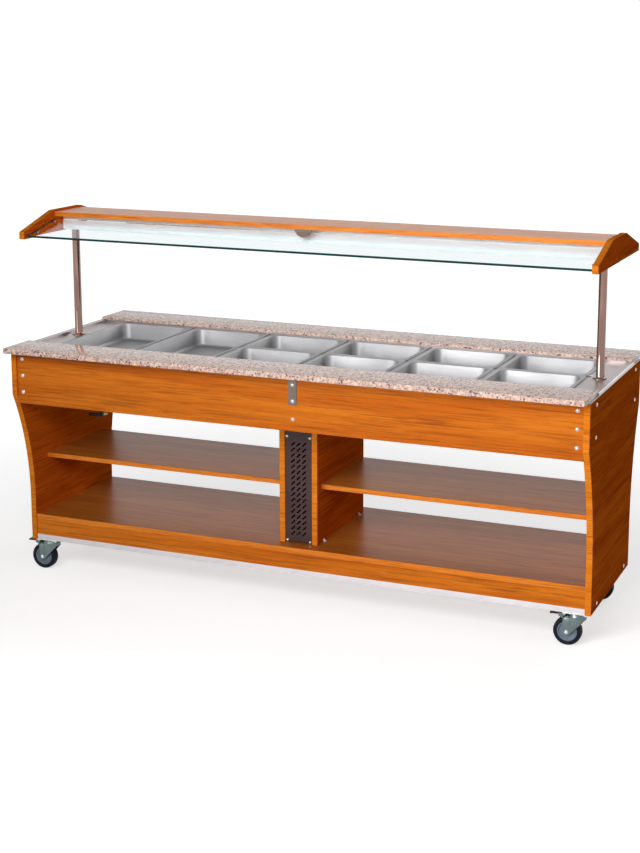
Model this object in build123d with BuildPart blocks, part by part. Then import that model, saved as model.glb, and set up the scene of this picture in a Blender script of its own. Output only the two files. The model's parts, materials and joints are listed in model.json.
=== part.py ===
from build123d import *
import os
from math import cos, radians, sin

# Heated serving trolley: six pan places between two stone tray slides, a wooden cabinet
# on casters and a glazed lamp canopy. X runs along the length, -Y is the customers' side,
# Z = 0 is the floor. The cabinet is drawn about X = 0 and moved by cabinet_shift at the end,
# because the brake pedals stand out further on the left than the screws do on the right.

# Boards and sheet
board = 22
thin_board = 18
steel_plate = 2
steel_sheet = 1.5
pan_sheet = 1
edge_break = 1
running = 0.05

# Casters: wheel, fork and swivel head
wheel_radius = 50
tyre_half_width = 15
hub_radius = 35
hub_half_width = 17
axle_radius = 5
axle_trail = 32
caster_head = 28
caster_plate_x = 92
caster_plate_y = 85
caster_plate = 3
race_radius = 33
race_gap = 0.3
race_height = 6
crown_drop = 12
crown_sheet = 3
fork_inner = 18.5
fork_sheet = 2.5
fork_outer = fork_inner + fork_sheet
king_pin_radius = 6
pivot_x = -52
pivot_rise = 3
pivot_radius = 2.5
pedal_tip = -93
pedal_half_width = 24
pedal_neck_half_width = 17.5
bolt_x = 37
bolt_y = 34
bolt_head = 5

# Cabinet
cabinet_half_length = 1106
panel_bottom = 2 * wheel_radius + caster_head
panel_top = 888
panel_half_depth = 380
panel_foot_half_depth = 284
apron_height = 198
apron_inset = 7
panel_curve_rise = 32
panel_curve_foot = 70
inner_half_length = cabinet_half_length - board
apron_bottom = panel_top - apron_height
apron_face = panel_half_depth - apron_inset
apron_back = apron_face - thin_board

# Deck and plinth
plinth_strip = 21
fascia_height = 59
deck_inset = 4
fascia_bottom = panel_bottom + plinth_strip
deck_bottom = fascia_bottom + fascia_height
deck_top = deck_bottom + board
deck_half_depth = panel_foot_half_depth - deck_inset
panel_curve_top = apron_bottom + panel_curve_rise
panel_curve_bottom = deck_top + panel_curve_foot

# Caster places and heights
caster_end = 36
caster_inset = 43
caster_x = inner_half_length - caster_end
caster_y = deck_half_depth - caster_inset
plate_bottom = panel_bottom - caster_plate
fixed_race_bottom = plate_bottom - race_height
crown_top = fixed_race_bottom - crown_drop
crown_bottom = crown_top - crown_sheet
pivot_z = crown_top + pivot_rise

# Middle column and upper shelves
column_half_width = 75
column_front_inset = 52
column_back_inset = 58
column_cover_inset = 3
column_front = deck_half_depth - column_front_inset
column_back = deck_half_depth - column_back_inset
shelf_rise = 222
shelf_front_inset = 38
shelf_back_inset = 10
shelf_top = deck_top + shelf_rise
shelf_front = column_front - shelf_front_inset
shelf_back = column_back - shelf_back_inset
shelf_pin_radius = 4
shelf_pin_length = 12
shelf_pin_inset = 60
clip_size = 22
clip_front = column_front - 58
clip_back = column_back - 49

# Slotted column cover
grille_foot_gap = 5
grille_head_gap = 40
grille_bottom = deck_top + grille_foot_gap
grille_top = apron_bottom - grille_head_gap
slot_length = 21
slot_width = 6
slot_angle = 45
slot_columns = 3
slot_pitch_x = 22
slot_pitch_z = 21
slot_margin = 25
slot_field_drop = 8.5
slot_rows = int((grille_top - grille_bottom - 2 * slot_margin) / slot_pitch_z)
slot_middle_z = (grille_top + grille_bottom) / 2 - slot_field_drop

# Well, pans and stone: the number of places follows from the length between the end zones
pan_width = 325
pan_length = 530
pan_side_gap = 10
pan_gap_half = 1
pan_rest = 10
pan_depth = 65
pan_rim_height = 5
pan_rim_width = 12
pan_rim_radius = 14
pan_body_radius = 34
pan_taper = 4
pan_chamfer = 8
least_end_zone = 80
place_pitch = pan_width + pan_side_gap
places = int((2 * (inner_half_length - least_end_zone) - pan_width) / place_pitch) + 1
well_half_length = (places - 1) * place_pitch / 2 + pan_width / 2 - pan_rest
well_half_depth = pan_length / 2 - pan_rest
tub_depth = 148
tub_corner = 20
tub_flange = 10
tub_bottom = panel_top - tub_depth
bar_width = 24
bar_height = 12
middle_bar_width = 20
slab_thickness = 20
slab_overhang = 60
slab_clearance = 3
slab_end_inset = 4
slab_edge = 3
slab_corner = 6
slab_outer = panel_half_depth + slab_overhang
slab_inner = pan_length / 2 + slab_clearance
slab_half_length = cabinet_half_length - slab_end_inset
rail_width = 26
rail_height = 10
drain_inset = 50
drain_x = -(well_half_length - drain_inset)
drain_pipe_radius = 11

# Under the tub
element_radius = 4.25
element_gap = 0.25
element_half_width = 90
element_end_gap = 20
element_half_length = place_pitch - element_half_width - element_end_gap
insulation = 25
insulation_gap = 1
insulation_drop = 10

# Canopy
post_end = 61
post_x = cabinet_half_length - post_end
post_radius = 15
post_drop = 10
post_bottom = apron_bottom + post_drop
post_foot_radius = 27
post_foot_height = 4
canopy_end_inset = 6
canopy_half_length = cabinet_half_length - canopy_end_inset
canopy_bottom = 1300
canopy_edge = 27
canopy_height = 88
canopy_edge_top = canopy_bottom + canopy_edge
canopy_top = canopy_bottom + canopy_height
canopy_top_half_depth = 100
canopy_edge_half_depth = 305
top_board_drop = 24
top_board_inset = 8
top_board_bottom = canopy_top - top_board_drop
top_board_half_depth = canopy_top_half_depth - top_board_inset
housing_rise = 6
housing_bottom = canopy_bottom + housing_rise
housing_half_depth = 50
housing_end_gap = 9
housing_lip = 10
housing_open_inset = 100
housing_open_half_length = canopy_half_length - housing_open_inset
lamp_radius = 6
lamp_length = 250
lamp_rise = 20
lamp_height = housing_bottom + lamp_rise
lamp_holder = 16
glass = 6
glass_edge_inset = 22
glass_board_gap = 4
glass_drop = 15
glass_outer_y = canopy_edge_half_depth - glass_edge_inset
glass_outer_z = housing_bottom
glass_inner_y = top_board_half_depth + glass_board_gap
glass_inner_z = top_board_bottom - glass_drop
glass_end_gap = 3
tab_radius = 33
tab_thickness = 4
tab_x = -37

# Operator's panel on the rear apron
control_x = 720
control_drop = 98
control_z = panel_top - control_drop
control_width = 240
control_height = 110
control_box_margin = 15
control_box_clearance = 30.5
lagging_outer_y = well_half_depth + steel_sheet + insulation_gap + insulation
control_box_depth = apron_face - lagging_outer_y - control_box_clearance
knob_x = control_x - 70
knob_radius = 22
knob_height = 20
knob_shaft_radius = 3
rocker_width = 20
rocker_height = 28
rocker_proud = 4
rocker_tilt = 8
rocker_pin_radius = 1.5
rocker_pin_reach = 0.4
power_x = control_x + 20
lamp_switch_x = control_x + 70
gland_x = control_x + 170
gland_radius = 11

# Screws
dome_radius = 7
dome_height = 3
dome_step = 1
dome_sides = 16
screw_end = 22
screw_top = 28
screw_foot = 44
apron_screw_x = inner_half_length - screw_end
apron_screw_high = panel_top - screw_top
apron_screw_low = apron_bottom + screw_foot
apron_screw_z = (apron_screw_high, (apron_screw_high + apron_screw_low) / 2, apron_screw_low)
panel_screw_y = panel_half_depth - 85
foot_screw_y = deck_half_depth - 73
side_screw_places = (
    (panel_screw_y, panel_top - 21),
    (panel_screw_y, apron_bottom + 65),
    (foot_screw_y, panel_bottom + screw_end),
)
strap_x = 45
strap_width = 32
strap_length = 103
strap_top = panel_top
strap_bottom = strap_top - strap_length
strap_screw_z = (strap_top - 30, strap_bottom + 14)
grille_screw_inset = 8
grille_screw_x = column_half_width - board - grille_screw_inset
grille_screw_z = (grille_top - 21, grille_bottom + 3)

# The pedals reach further out on the left than the dome screws do on the right.
left_reach = caster_x - pedal_tip
right_reach = cabinet_half_length + dome_height
cabinet_shift = (left_reach - right_reach) / 2

pieces = {}


def keep(name, part):
    part.label = name
    pieces[name] = part


def place_x(index):
    return (index - (places - 1) / 2) * place_pitch


# Side panels: upright cheeks above, then a long hollow curve down to the narrower foot
with BuildPart() as side_panels:
    for side in (-1, 1):
        with BuildSketch(Plane.YZ.offset(side * cabinet_half_length)):
            with BuildLine():
                foot = Line((0, panel_bottom), (panel_foot_half_depth, panel_bottom))
                leg = Line(foot @ 1, (panel_foot_half_depth, panel_curve_bottom))
                curve_end = (panel_half_depth, panel_curve_top)
                curve = TangentArc(leg @ 1, curve_end, tangent=leg % 1)
                cheek = Line(curve @ 1, (panel_half_depth, panel_top))
                Line(cheek @ 1, (0, panel_top))
                mirror(about=Plane.YZ)
            make_face()
        extrude(amount=-side * board)
    outer_faces = side_panels.faces().filter_by(Axis.X).group_by(Axis.X)
    chamfer(outer_faces[0].edges() + outer_faces[-1].edges(), edge_break)
keep("side_panels", side_panels.part)

# Aprons under the tray slides
with BuildPart() as front_apron:
    with BuildSketch(Plane.XY.offset(apron_bottom)):
        with Locations((0, -(apron_face + apron_back) / 2)):
            Rectangle(2 * inner_half_length, thin_board)
    extrude(amount=panel_top - apron_bottom)
    lower_edges = front_apron.faces().sort_by(Axis.Z)[0].edges().filter_by(Axis.X)
    chamfer(lower_edges, edge_break)
keep("front_apron", front_apron.part)

with BuildPart() as rear_apron:
    with BuildSketch(Plane.XY.offset(apron_bottom)):
        with Locations((0, (apron_face + apron_back) / 2)):
            Rectangle(2 * inner_half_length, thin_board)
    extrude(amount=panel_top - apron_bottom)
    lower_edges = rear_apron.faces().sort_by(Axis.Z)[0].edges().filter_by(Axis.X)
    chamfer(lower_edges, edge_break)
    box_width = control_width - 2 * control_box_margin
    box_height = control_height - 2 * control_box_margin
    with BuildSketch(Plane.XZ.offset(-apron_face)):
        with Locations((control_x, control_z)):
            Rectangle(box_width, box_height)
        with Locations((gland_x, control_z)):
            Circle(gland_radius - 2)
    extrude(amount=thin_board, mode=Mode.SUBTRACT)
keep("rear_apron", rear_apron.part)

with BuildPart() as strap:
    with BuildSketch(Plane.XZ.offset(apron_face)):
        with Locations((strap_x, (strap_bottom + strap_top) / 2)):
            RectangleRounded(strap_width, strap_top - strap_bottom, 2)
    extrude(amount=steel_plate)
keep("apron_joint_strap", strap.part)

# Lower deck, its fascias and the pale plinth strips
with BuildPart() as deck:
    with BuildSketch(Plane.XY.offset(deck_bottom)):
        Rectangle(2 * inner_half_length, 2 * deck_half_depth)
    extrude(amount=board)
    deck_edges = deck.edges().filter_by(Axis.X)
    chamfer(deck_edges, edge_break)
keep("deck_board", deck.part)

with BuildPart() as fascias:
    with BuildSketch(Plane.XY.offset(fascia_bottom)):
        for side in (-1, 1):
            with Locations((0, side * (deck_half_depth - board / 2))):
                Rectangle(2 * inner_half_length, board)
    extrude(amount=deck_bottom - fascia_bottom)
keep("deck_fascias", fascias.part)

with BuildPart() as strips:
    with BuildSketch(Plane.XY.offset(panel_bottom)):
        for side in (-1, 1):
            with Locations((0, side * (deck_half_depth - board / 2))):
                Rectangle(2 * inner_half_length, board)
    extrude(amount=fascia_bottom - panel_bottom)
    chamfer(strips.edges().filter_by(Axis.X).group_by(Axis.Z)[0], edge_break)
keep("plinth_strips", strips.part)

block_length = 110
block_depth = 96
with BuildPart() as blocks:
    with BuildSketch(Plane.XY.offset(panel_bottom)):
        for side_x in (-1, 1):
            for side_y in (-1, 1):
                block_x = side_x * (inner_half_length - block_length / 2)
                block_y = side_y * (deck_half_depth - board - block_depth / 2)
                with Locations((block_x, block_y)):
                    Rectangle(block_length, block_depth)
    extrude(amount=deck_bottom - panel_bottom)
keep("caster_blocks", blocks.part)

# Middle column: two boards with a metal cover at the front and at the back
with BuildPart() as column:
    with BuildSketch(Plane.XY.offset(deck_top)):
        for side in (-1, 1):
            with Locations((side * (column_half_width - board / 2), (column_back - column_front) / 2)):
                Rectangle(board, column_front + column_back)
    extrude(amount=apron_bottom - deck_top)
    chamfer(column.edges().filter_by(Axis.Z), edge_break)
keep("column_boards", column.part)

cover_width = 2 * (column_half_width - board)
cover_height = grille_top - grille_bottom
cover_middle = (grille_top + grille_bottom) / 2
fold_depth = 14
with BuildPart() as covers:
    with BuildSketch(Plane.XZ.offset(column_front - column_cover_inset)):
        with Locations((0, cover_middle)):
            Rectangle(cover_width, cover_height)
        with Locations((0, slot_middle_z)):
            with GridLocations(slot_pitch_x, slot_pitch_z, slot_columns, slot_rows):
                SlotOverall(slot_length, slot_width, rotation=slot_angle, mode=Mode.SUBTRACT)
    extrude(amount=-steel_plate)
    with BuildSketch(Plane.XY.offset(grille_top - steel_plate)):
        with Locations((0, -(column_front - column_cover_inset - fold_depth / 2))):
            Rectangle(cover_width, fold_depth)
    extrude(amount=steel_plate)
    with BuildSketch(Plane.XZ.offset(-(column_back - column_cover_inset))):
        with Locations((0, (deck_top + apron_bottom) / 2)):
            Rectangle(cover_width, apron_bottom - deck_top)
    extrude(amount=steel_plate)
keep("column_covers", covers.part)

# Upper shelves on pins
shelf_length = inner_half_length - column_half_width
shelf_middle_x = (inner_half_length + column_half_width) / 2
shelf_middle_y = (shelf_back - shelf_front) / 2
with BuildPart() as shelves:
    with BuildSketch(Plane.XY.offset(shelf_top)):
        with Locations((-shelf_middle_x, shelf_middle_y), (shelf_middle_x, shelf_middle_y)):
            Rectangle(shelf_length, shelf_front + shelf_back)
    extrude(amount=-thin_board)
    chamfer(shelves.edges().filter_by(Axis.X), edge_break)
keep("upper_shelves", shelves.part)

pin_height = shelf_top - thin_board - shelf_pin_radius
pin_rows = (-shelf_front + shelf_pin_inset, shelf_back - shelf_pin_inset)
with BuildPart() as fittings:
    for face_x, direction in (
        (-inner_half_length, 1),
        (-column_half_width, -1),
        (column_half_width, 1),
        (inner_half_length, -1),
    ):
        with BuildSketch(Plane.YZ.offset(face_x)):
            with Locations(*[(pin_y, pin_height) for pin_y in pin_rows]):
                Circle(shelf_pin_radius)
        extrude(amount=direction * shelf_pin_length)
    for side in (-1, 1):
        for clip_y in (-clip_front, clip_back):
            with BuildSketch(Plane.XZ.offset(-clip_y + clip_size / 2)):
                with BuildLine():
                    corner = (side * column_half_width, deck_top)
                    along = (side * (column_half_width + clip_size), deck_top)
                    above = (side * column_half_width, deck_top + clip_size)
                    Polyline(corner, along, above, close=True)
                make_face()
            extrude(amount=-clip_size)
keep("shelf_fittings", fittings.part)

# Steel top: flat plate with an upstand along each stone slab and a raised rail at each end
plate_top = panel_top + steel_plate
rail_inner = cabinet_half_length - rail_width
with BuildPart() as top_plate:
    with BuildSketch(Plane.XY.offset(panel_top)):
        Rectangle(2 * cabinet_half_length, 2 * panel_half_depth)
        Rectangle(2 * well_half_length, 2 * well_half_depth, mode=Mode.SUBTRACT)
        with Locations((-post_x, 0), (post_x, 0)):
            Circle(post_radius + running, mode=Mode.SUBTRACT)
    extrude(amount=steel_plate)
    with BuildSketch(Plane.XY.offset(plate_top)):
        for side in (-1, 1):
            with Locations((0, side * (slab_inner - steel_sheet / 2))):
                Rectangle(2 * rail_inner, steel_sheet)
            with Locations((side * (cabinet_half_length - rail_width / 2), 0)):
                Rectangle(rail_width, 2 * slab_inner)
    extrude(amount=rail_height)
    rail_tops = top_plate.faces().filter_by(Axis.Z).sort_by(Axis.Z)[-1]
    rail_edges = rail_tops.edges().filter_by(Axis.Y)
    fillet(rail_edges.group_by(Axis.X)[0] + rail_edges.group_by(Axis.X)[-1], 3)
keep("well_top_plate", top_plate.part)

# Folded tub under the plate, with a socket for the drain
with BuildPart() as tub:
    with BuildSketch(Plane.XY.offset(tub_bottom)):
        RectangleRounded(2 * (well_half_length + steel_sheet), 2 * (well_half_depth + steel_sheet), tub_corner)
    extrude(amount=panel_top - tub_bottom)
    with BuildSketch(Plane.XY.offset(panel_top)):
        flange_x = well_half_length + steel_sheet + tub_flange
        flange_y = well_half_depth + steel_sheet + tub_flange
        Rectangle(2 * flange_x, 2 * flange_y)
    extrude(amount=-steel_sheet)
    with BuildSketch(Plane.XY.offset(tub_bottom + steel_sheet)):
        RectangleRounded(2 * well_half_length, 2 * well_half_depth, tub_corner - steel_sheet)
    extrude(amount=panel_top - tub_bottom, mode=Mode.SUBTRACT)
    with BuildSketch(Plane.XY.offset(tub_bottom)):
        with Locations((drain_x, 0)):
            Circle(drain_pipe_radius - 2)
    extrude(amount=steel_sheet, mode=Mode.SUBTRACT)
keep("well_tub", tub.part)

# Cross bars between the places, and a middle bar where a place holds two half pans
half_places = range(2, places)
with BuildPart() as bars:
    for index in range(1, places):
        bar_x = place_x(index) - place_pitch / 2
        with BuildSketch(Plane.XZ.offset(-well_half_depth)):
            with Locations((bar_x, plate_top - bar_height / 2)):
                Rectangle(bar_width, bar_height)
            with Locations((bar_x, plate_top - steel_sheet - bar_height / 2)):
                Rectangle(bar_width - 2 * steel_sheet, bar_height, mode=Mode.SUBTRACT)
        extrude(amount=2 * well_half_depth)
    for index in half_places:
        run_start = place_x(index) - place_pitch / 2 + bar_width / 2 + running
        run_end = place_x(index) + place_pitch / 2 - bar_width / 2 - running
        if index == places - 1:
            run_end = well_half_length
        with BuildSketch(Plane.YZ.offset(run_start)):
            with Locations((0, plate_top - bar_height / 2)):
                Rectangle(middle_bar_width, bar_height)
            with Locations((0, plate_top - steel_sheet - bar_height / 2)):
                Rectangle(middle_bar_width - 2 * steel_sheet, bar_height, mode=Mode.SUBTRACT)
        extrude(amount=run_end - run_start)
keep("pan_cross_bars", bars.part)

# Hairpin heating elements clamped under the tub floor, one for each pair of places
element_z = tub_bottom - element_radius - element_gap
pairs = places // 2
with BuildPart() as elements:
    for pair in range(pairs):
        middle_x = (2 * pair - pairs + 1) * place_pitch
        with BuildLine(Plane.XY.offset(element_z)) as hairpin:
            left_x = middle_x - element_half_length
            right_x = middle_x + element_half_length
            front = Line((left_x, -element_half_width), (right_x, -element_half_width))
            turn = TangentArc(front @ 1, (right_x, element_half_width), tangent=front % 1)
            Line(turn @ 1, (left_x, element_half_width))
        with BuildSketch(Plane(origin=front @ 0, z_dir=front % 0)):
            Circle(element_radius)
        sweep(path=hairpin.line)
keep("heating_elements", elements.part)

# Insulation round the tub and the sheet that closes the cabinet from below
insulation_top = element_z - element_radius - element_gap
insulation_bottom = insulation_top - insulation
insulation_inner_x = well_half_length + steel_sheet + insulation_gap
insulation_inner_y = well_half_depth + steel_sheet + insulation_gap
with BuildPart() as lagging:
    with BuildSketch(Plane.XY.offset(insulation_bottom)):
        Rectangle(2 * (insulation_inner_x + insulation), 2 * (insulation_inner_y + insulation))
    extrude(amount=panel_top - insulation_drop - insulation_bottom)
    with BuildSketch(Plane.XY.offset(insulation_top)):
        Rectangle(2 * insulation_inner_x, 2 * insulation_inner_y)
    extrude(amount=panel_top, mode=Mode.SUBTRACT)
    with BuildSketch(Plane.XY.offset(insulation_bottom)):
        with Locations((drain_x, 0)):
            Circle(drain_pipe_radius + 2)
    extrude(amount=insulation, mode=Mode.SUBTRACT)
keep("tub_insulation", lagging.part)

with BuildPart() as bottom_cover:
    with BuildSketch(Plane.XY.offset(apron_bottom)):
        Rectangle(2 * inner_half_length, 2 * apron_back)
        with Locations((drain_x, 0)):
            Circle(drain_pipe_radius + 2, mode=Mode.SUBTRACT)
    extrude(amount=steel_sheet)
    with BuildSketch(Plane.XY.offset(apron_bottom + steel_sheet)):
        for side in (-1, 1):
            with Locations((0, side * (apron_back - steel_sheet / 2))):
                Rectangle(2 * inner_half_length, steel_sheet)
        for post_side in (-1, 1):
            with Locations((post_side * post_x, 0)):
                Circle(post_radius - steel_sheet - running)
    extrude(amount=post_bottom - apron_bottom + 8)
keep("bottom_cover", bottom_cover.part)

# Stone tray slides with softly rounded edges
with BuildPart() as slabs:
    with BuildSketch(Plane.XY.offset(plate_top)):
        for side in (-1, 1):
            with Locations((0, side * (slab_outer + slab_inner) / 2)):
                RectangleRounded(2 * slab_half_length, slab_outer - slab_inner, slab_corner)
    extrude(amount=slab_thickness)
    slab_faces = slabs.faces().filter_by(Axis.Z)
    chamfer(slab_faces.edges(), slab_edge / 2)
keep("granite_slabs", slabs.part)


# Bowl of a pan as a closed shape: rounded corners, drawn-in walls and a broken floor edge
def make_bowl(x, y, length, inset, depth):
    rim_top = plate_top + pan_rim_height
    bowl_width = pan_width - 2 * pan_rim_width - 2 * inset
    bowl_length = length - 2 * pan_rim_width - 2 * inset
    with BuildPart() as bowl:
        with BuildSketch(Plane.XY.offset(rim_top)):
            with Locations((x, y)):
                RectangleRounded(bowl_width, bowl_length, pan_body_radius - inset)
        extrude(amount=-depth, taper=pan_taper)
        chamfer(bowl.faces().sort_by(Axis.Z)[0].edges(), pan_chamfer - inset / 2)
    return bowl.part


# Pans: thin sheet with a turned-down rim that rests on the plate and the bars
def make_pan(x, y, length):
    outer_bowl = make_bowl(x, y, length, 0, pan_depth)
    inner_bowl = make_bowl(x, y, length, pan_sheet, pan_depth - pan_sheet)
    with BuildPart() as pan:
        with BuildSketch(Plane.XY.offset(plate_top)):
            with Locations((x, y)):
                RectangleRounded(pan_width, length, pan_rim_radius)
        extrude(amount=pan_rim_height)
        with BuildSketch(Plane.XY.offset(plate_top)):
            with Locations((x, y)):
                inner_radius = pan_rim_radius - pan_sheet
                RectangleRounded(pan_width - 2 * pan_sheet, length - 2 * pan_sheet, inner_radius)
        extrude(amount=pan_rim_height - pan_sheet, mode=Mode.SUBTRACT)
        add(outer_bowl)
        add(inner_bowl, mode=Mode.SUBTRACT)
    return pan.part


half_length = pan_length / 2 - pan_gap_half
for index in range(places):
    if index in half_places:
        for word, side in (("front", -1), ("rear", 1)):
            half_y = side * (pan_gap_half + half_length / 2)
            keep(f"pan_{index + 1}_{word}", make_pan(place_x(index), half_y, half_length))
    else:
        keep(f"pan_{index + 1}", make_pan(place_x(index), 0, pan_length))

# Canopy posts: polished tube through the plate, foot ring above it and a flange at the top
with BuildPart() as posts:
    for side in (-1, 1):
        with BuildSketch(Plane.XY.offset(post_bottom)):
            with Locations((side * post_x, 0)):
                Circle(post_radius)
                Circle(post_radius - steel_sheet, mode=Mode.SUBTRACT)
        extrude(amount=housing_bottom - post_bottom)
        with BuildSketch(Plane.XY.offset(plate_top)):
            with Locations((side * post_x, 0)):
                Circle(post_foot_radius)
                Circle(post_radius + running, mode=Mode.SUBTRACT)
        extrude(amount=post_foot_height)
        with BuildSketch(Plane.XY.offset(housing_bottom - post_foot_height)):
            with Locations((side * post_x, 0)):
                Circle(post_foot_radius)
                Circle(post_radius + running, mode=Mode.SUBTRACT)
        extrude(amount=post_foot_height)
keep("canopy_posts", posts.part)

# Canopy ends and top board
with BuildPart() as canopy_ends:
    for side in (-1, 1):
        with BuildSketch(Plane.YZ.offset(side * canopy_half_length)):
            with BuildLine():
                under = Line((0, canopy_bottom), (canopy_edge_half_depth, canopy_bottom))
                edge = Line(under @ 1, (canopy_edge_half_depth, canopy_edge_top))
                slope = Line(edge @ 1, (canopy_top_half_depth, canopy_top))
                Line(slope @ 1, (0, canopy_top))
                mirror(about=Plane.YZ)
            make_face()
        extrude(amount=-side * board)
    end_faces = canopy_ends.faces().filter_by(Axis.X).group_by(Axis.X)
    chamfer(end_faces[0].edges() + end_faces[-1].edges(), edge_break)
keep("hood_ends", canopy_ends.part)

canopy_inner = canopy_half_length - board
with BuildPart() as top_board:
    with BuildSketch(Plane.XY.offset(top_board_bottom)):
        Rectangle(2 * canopy_inner, 2 * top_board_half_depth)
    extrude(amount=thin_board)
    chamfer(top_board.edges().filter_by(Axis.X), edge_break)
keep("hood_top_board", top_board.part)

# Lamp housing: sheet trough, open below, closed at its ends where the posts meet it
housing_half_length = canopy_inner - housing_end_gap
housing_height = top_board_bottom - housing_bottom
with BuildPart() as housing:
    with BuildSketch(Plane.XY.offset(housing_bottom)):
        Rectangle(2 * housing_half_length, 2 * housing_half_depth)
    extrude(amount=housing_height)
    with BuildSketch(Plane.XY.offset(housing_bottom + steel_sheet)):
        inside_x = housing_half_length - steel_sheet
        inside_y = housing_half_depth - steel_sheet
        Rectangle(2 * inside_x, 2 * inside_y)
    extrude(amount=housing_height - 2 * steel_sheet, mode=Mode.SUBTRACT)
    with BuildSketch(Plane.XY.offset(housing_bottom)):
        Rectangle(2 * housing_open_half_length, 2 * (housing_half_depth - housing_lip))
    extrude(amount=steel_sheet, mode=Mode.SUBTRACT)
keep("lamp_housing", housing.part)

lamp_end_x = lamp_length / 2 + lamp_holder / 2
with BuildPart() as holders:
    holder_bottom = lamp_height - lamp_holder / 2
    with BuildSketch(Plane.XY.offset(holder_bottom)):
        for index in range(places):
            for side in (-1, 1):
                with Locations((place_x(index) + side * lamp_end_x, 0)):
                    Rectangle(lamp_holder, lamp_holder)
    extrude(amount=top_board_bottom - steel_sheet - holder_bottom)
keep("lamp_holders", holders.part)

with BuildPart() as lamps:
    for index in range(places):
        with BuildSketch(Plane.YZ.offset(place_x(index) - lamp_length / 2)):
            with Locations((0, lamp_height)):
                Circle(lamp_radius)
        extrude(amount=lamp_length)
keep("heat_lamps", lamps.part)

# Glass: one sloping pane on each long side, held by clips on the canopy ends and a tab mid-way
glass_run = Vector(glass_inner_y - glass_outer_y, glass_inner_z - glass_outer_z)
glass_up = glass_run.rotate(Axis.Z, -90).normalized() * glass
with BuildPart() as panes:
    for side in (-1, 1):
        with BuildSketch(Plane.YZ.offset(-(canopy_inner - glass_end_gap))):
            with BuildLine():
                lower_out = (side * glass_outer_y, glass_outer_z)
                lower_in = (side * glass_inner_y, glass_inner_z)
                upper_in = (side * (glass_inner_y + glass_up.X), glass_inner_z + glass_up.Y)
                upper_out = (side * (glass_outer_y + glass_up.X), glass_outer_z + glass_up.Y)
                Polyline(lower_out, lower_in, upper_in, upper_out, close=True)
            make_face()
        extrude(amount=2 * (canopy_inner - glass_end_gap))
keep("glass_panes", panes.part)

clip_width = 16
clip_reach = 14
clip_plate = 4
with BuildPart() as clips:
    for end in (-1, 1):
        for side in (-1, 1):
            for share in (0.27, 0.9):
                seat_y = side * (glass_outer_y + glass_run.X * share)
                seat_z = glass_outer_z + glass_run.Y * share
                seat = Plane(
                    origin=(end * (canopy_inner - clip_reach / 2), seat_y, seat_z),
                    x_dir=(1, 0, 0),
                    z_dir=(0, side * glass_up.X, glass_up.Y),
                )
                with BuildSketch(seat):
                    Rectangle(clip_reach, clip_width)
                extrude(amount=-clip_plate)
    for side in (-1, 1):
        tab_y = side * (glass_inner_y - tab_thickness)
        with BuildSketch(Plane.XZ.offset(-tab_y)):
            with BuildLine():
                left_end = (tab_x - tab_radius, top_board_bottom)
                lowest = (tab_x, top_board_bottom - tab_radius)
                right_end = (tab_x + tab_radius, top_board_bottom)
                ThreePointArc(left_end, lowest, right_end)
                Line(right_end, left_end)
            make_face()
        extrude(amount=tab_thickness * side)
keep("glass_clips", clips.part)

# Operator's panel: face plate with a shallow box let into the rear apron
with BuildPart() as control:
    with BuildSketch(Plane.XZ.offset(-apron_face)):
        with Locations((control_x, control_z)):
            RectangleRounded(control_width, control_height, 4)
    extrude(amount=-steel_plate)
    with BuildSketch(Plane.XZ.offset(-apron_face)):
        with Locations((control_x, control_z)):
            Rectangle(box_width, box_height)
    extrude(amount=control_box_depth)
    with BuildSketch(Plane.XZ.offset(-apron_face)):
        with Locations((control_x, control_z)):
            Rectangle(box_width - 2 * steel_sheet, box_height - 2 * steel_sheet)
    extrude(amount=control_box_depth - steel_sheet, mode=Mode.SUBTRACT)
    with BuildSketch(Plane.XZ.offset(-apron_face)):
        with Locations((knob_x, control_z)):
            Circle(knob_shaft_radius + running)
        with Locations((power_x, control_z), (lamp_switch_x, control_z)):
            Rectangle(rocker_width + 1, rocker_height + 1)
    extrude(amount=-steel_plate, mode=Mode.SUBTRACT)
keep("control_panel", control.part)

with BuildPart() as knob:
    with BuildSketch(Plane.XZ.offset(-(apron_face + steel_plate + race_gap))):
        with Locations((knob_x, control_z)):
            Circle(knob_radius)
            with PolarLocations(knob_radius + 2, 8):
                Circle(4, mode=Mode.SUBTRACT)
    extrude(amount=-knob_height)
    chamfer(knob.faces().sort_by(Axis.Y)[-1].edges(), 1.5)
    with BuildSketch(Plane.XZ.offset(-(apron_face - 10))):
        with Locations((knob_x, control_z)):
            Circle(knob_shaft_radius)
    extrude(amount=-(10 + steel_plate + race_gap + 2))
keep("thermostat_knob", knob.part)


# Rockers: a shallow vee that tips about its own middle line
def make_rocker(x):
    face_y = apron_face + steel_plate
    half = rocker_height / 2
    rise = half * sin(radians(rocker_tilt))
    tilt_face = Plane.YZ.offset(x - rocker_width / 2)
    with BuildPart() as rocker:
        with BuildSketch(tilt_face):
            with BuildLine():
                low = (face_y + rocker_proud - rise, control_z - half * cos(radians(rocker_tilt)))
                middle = (face_y + rocker_proud - rise, control_z)
                high = (face_y + rocker_proud + rise, control_z + half * cos(radians(rocker_tilt)))
                back_high = (face_y - 4, control_z + half * 0.8)
                back_low = (face_y - 4, control_z - half * 0.8)
                Polyline(low, middle, high, back_high, back_low, close=True)
            make_face()
        extrude(amount=rocker_width)
        with BuildSketch(Plane.YZ.offset(x - rocker_width / 2 - rocker_pin_reach)):
            with Locations((face_y, control_z)):
                Circle(rocker_pin_radius)
        extrude(amount=rocker_width + 2 * rocker_pin_reach)
    return rocker.part


keep("power_rocker", make_rocker(power_x))
keep("lamp_rocker", make_rocker(lamp_switch_x))

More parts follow.
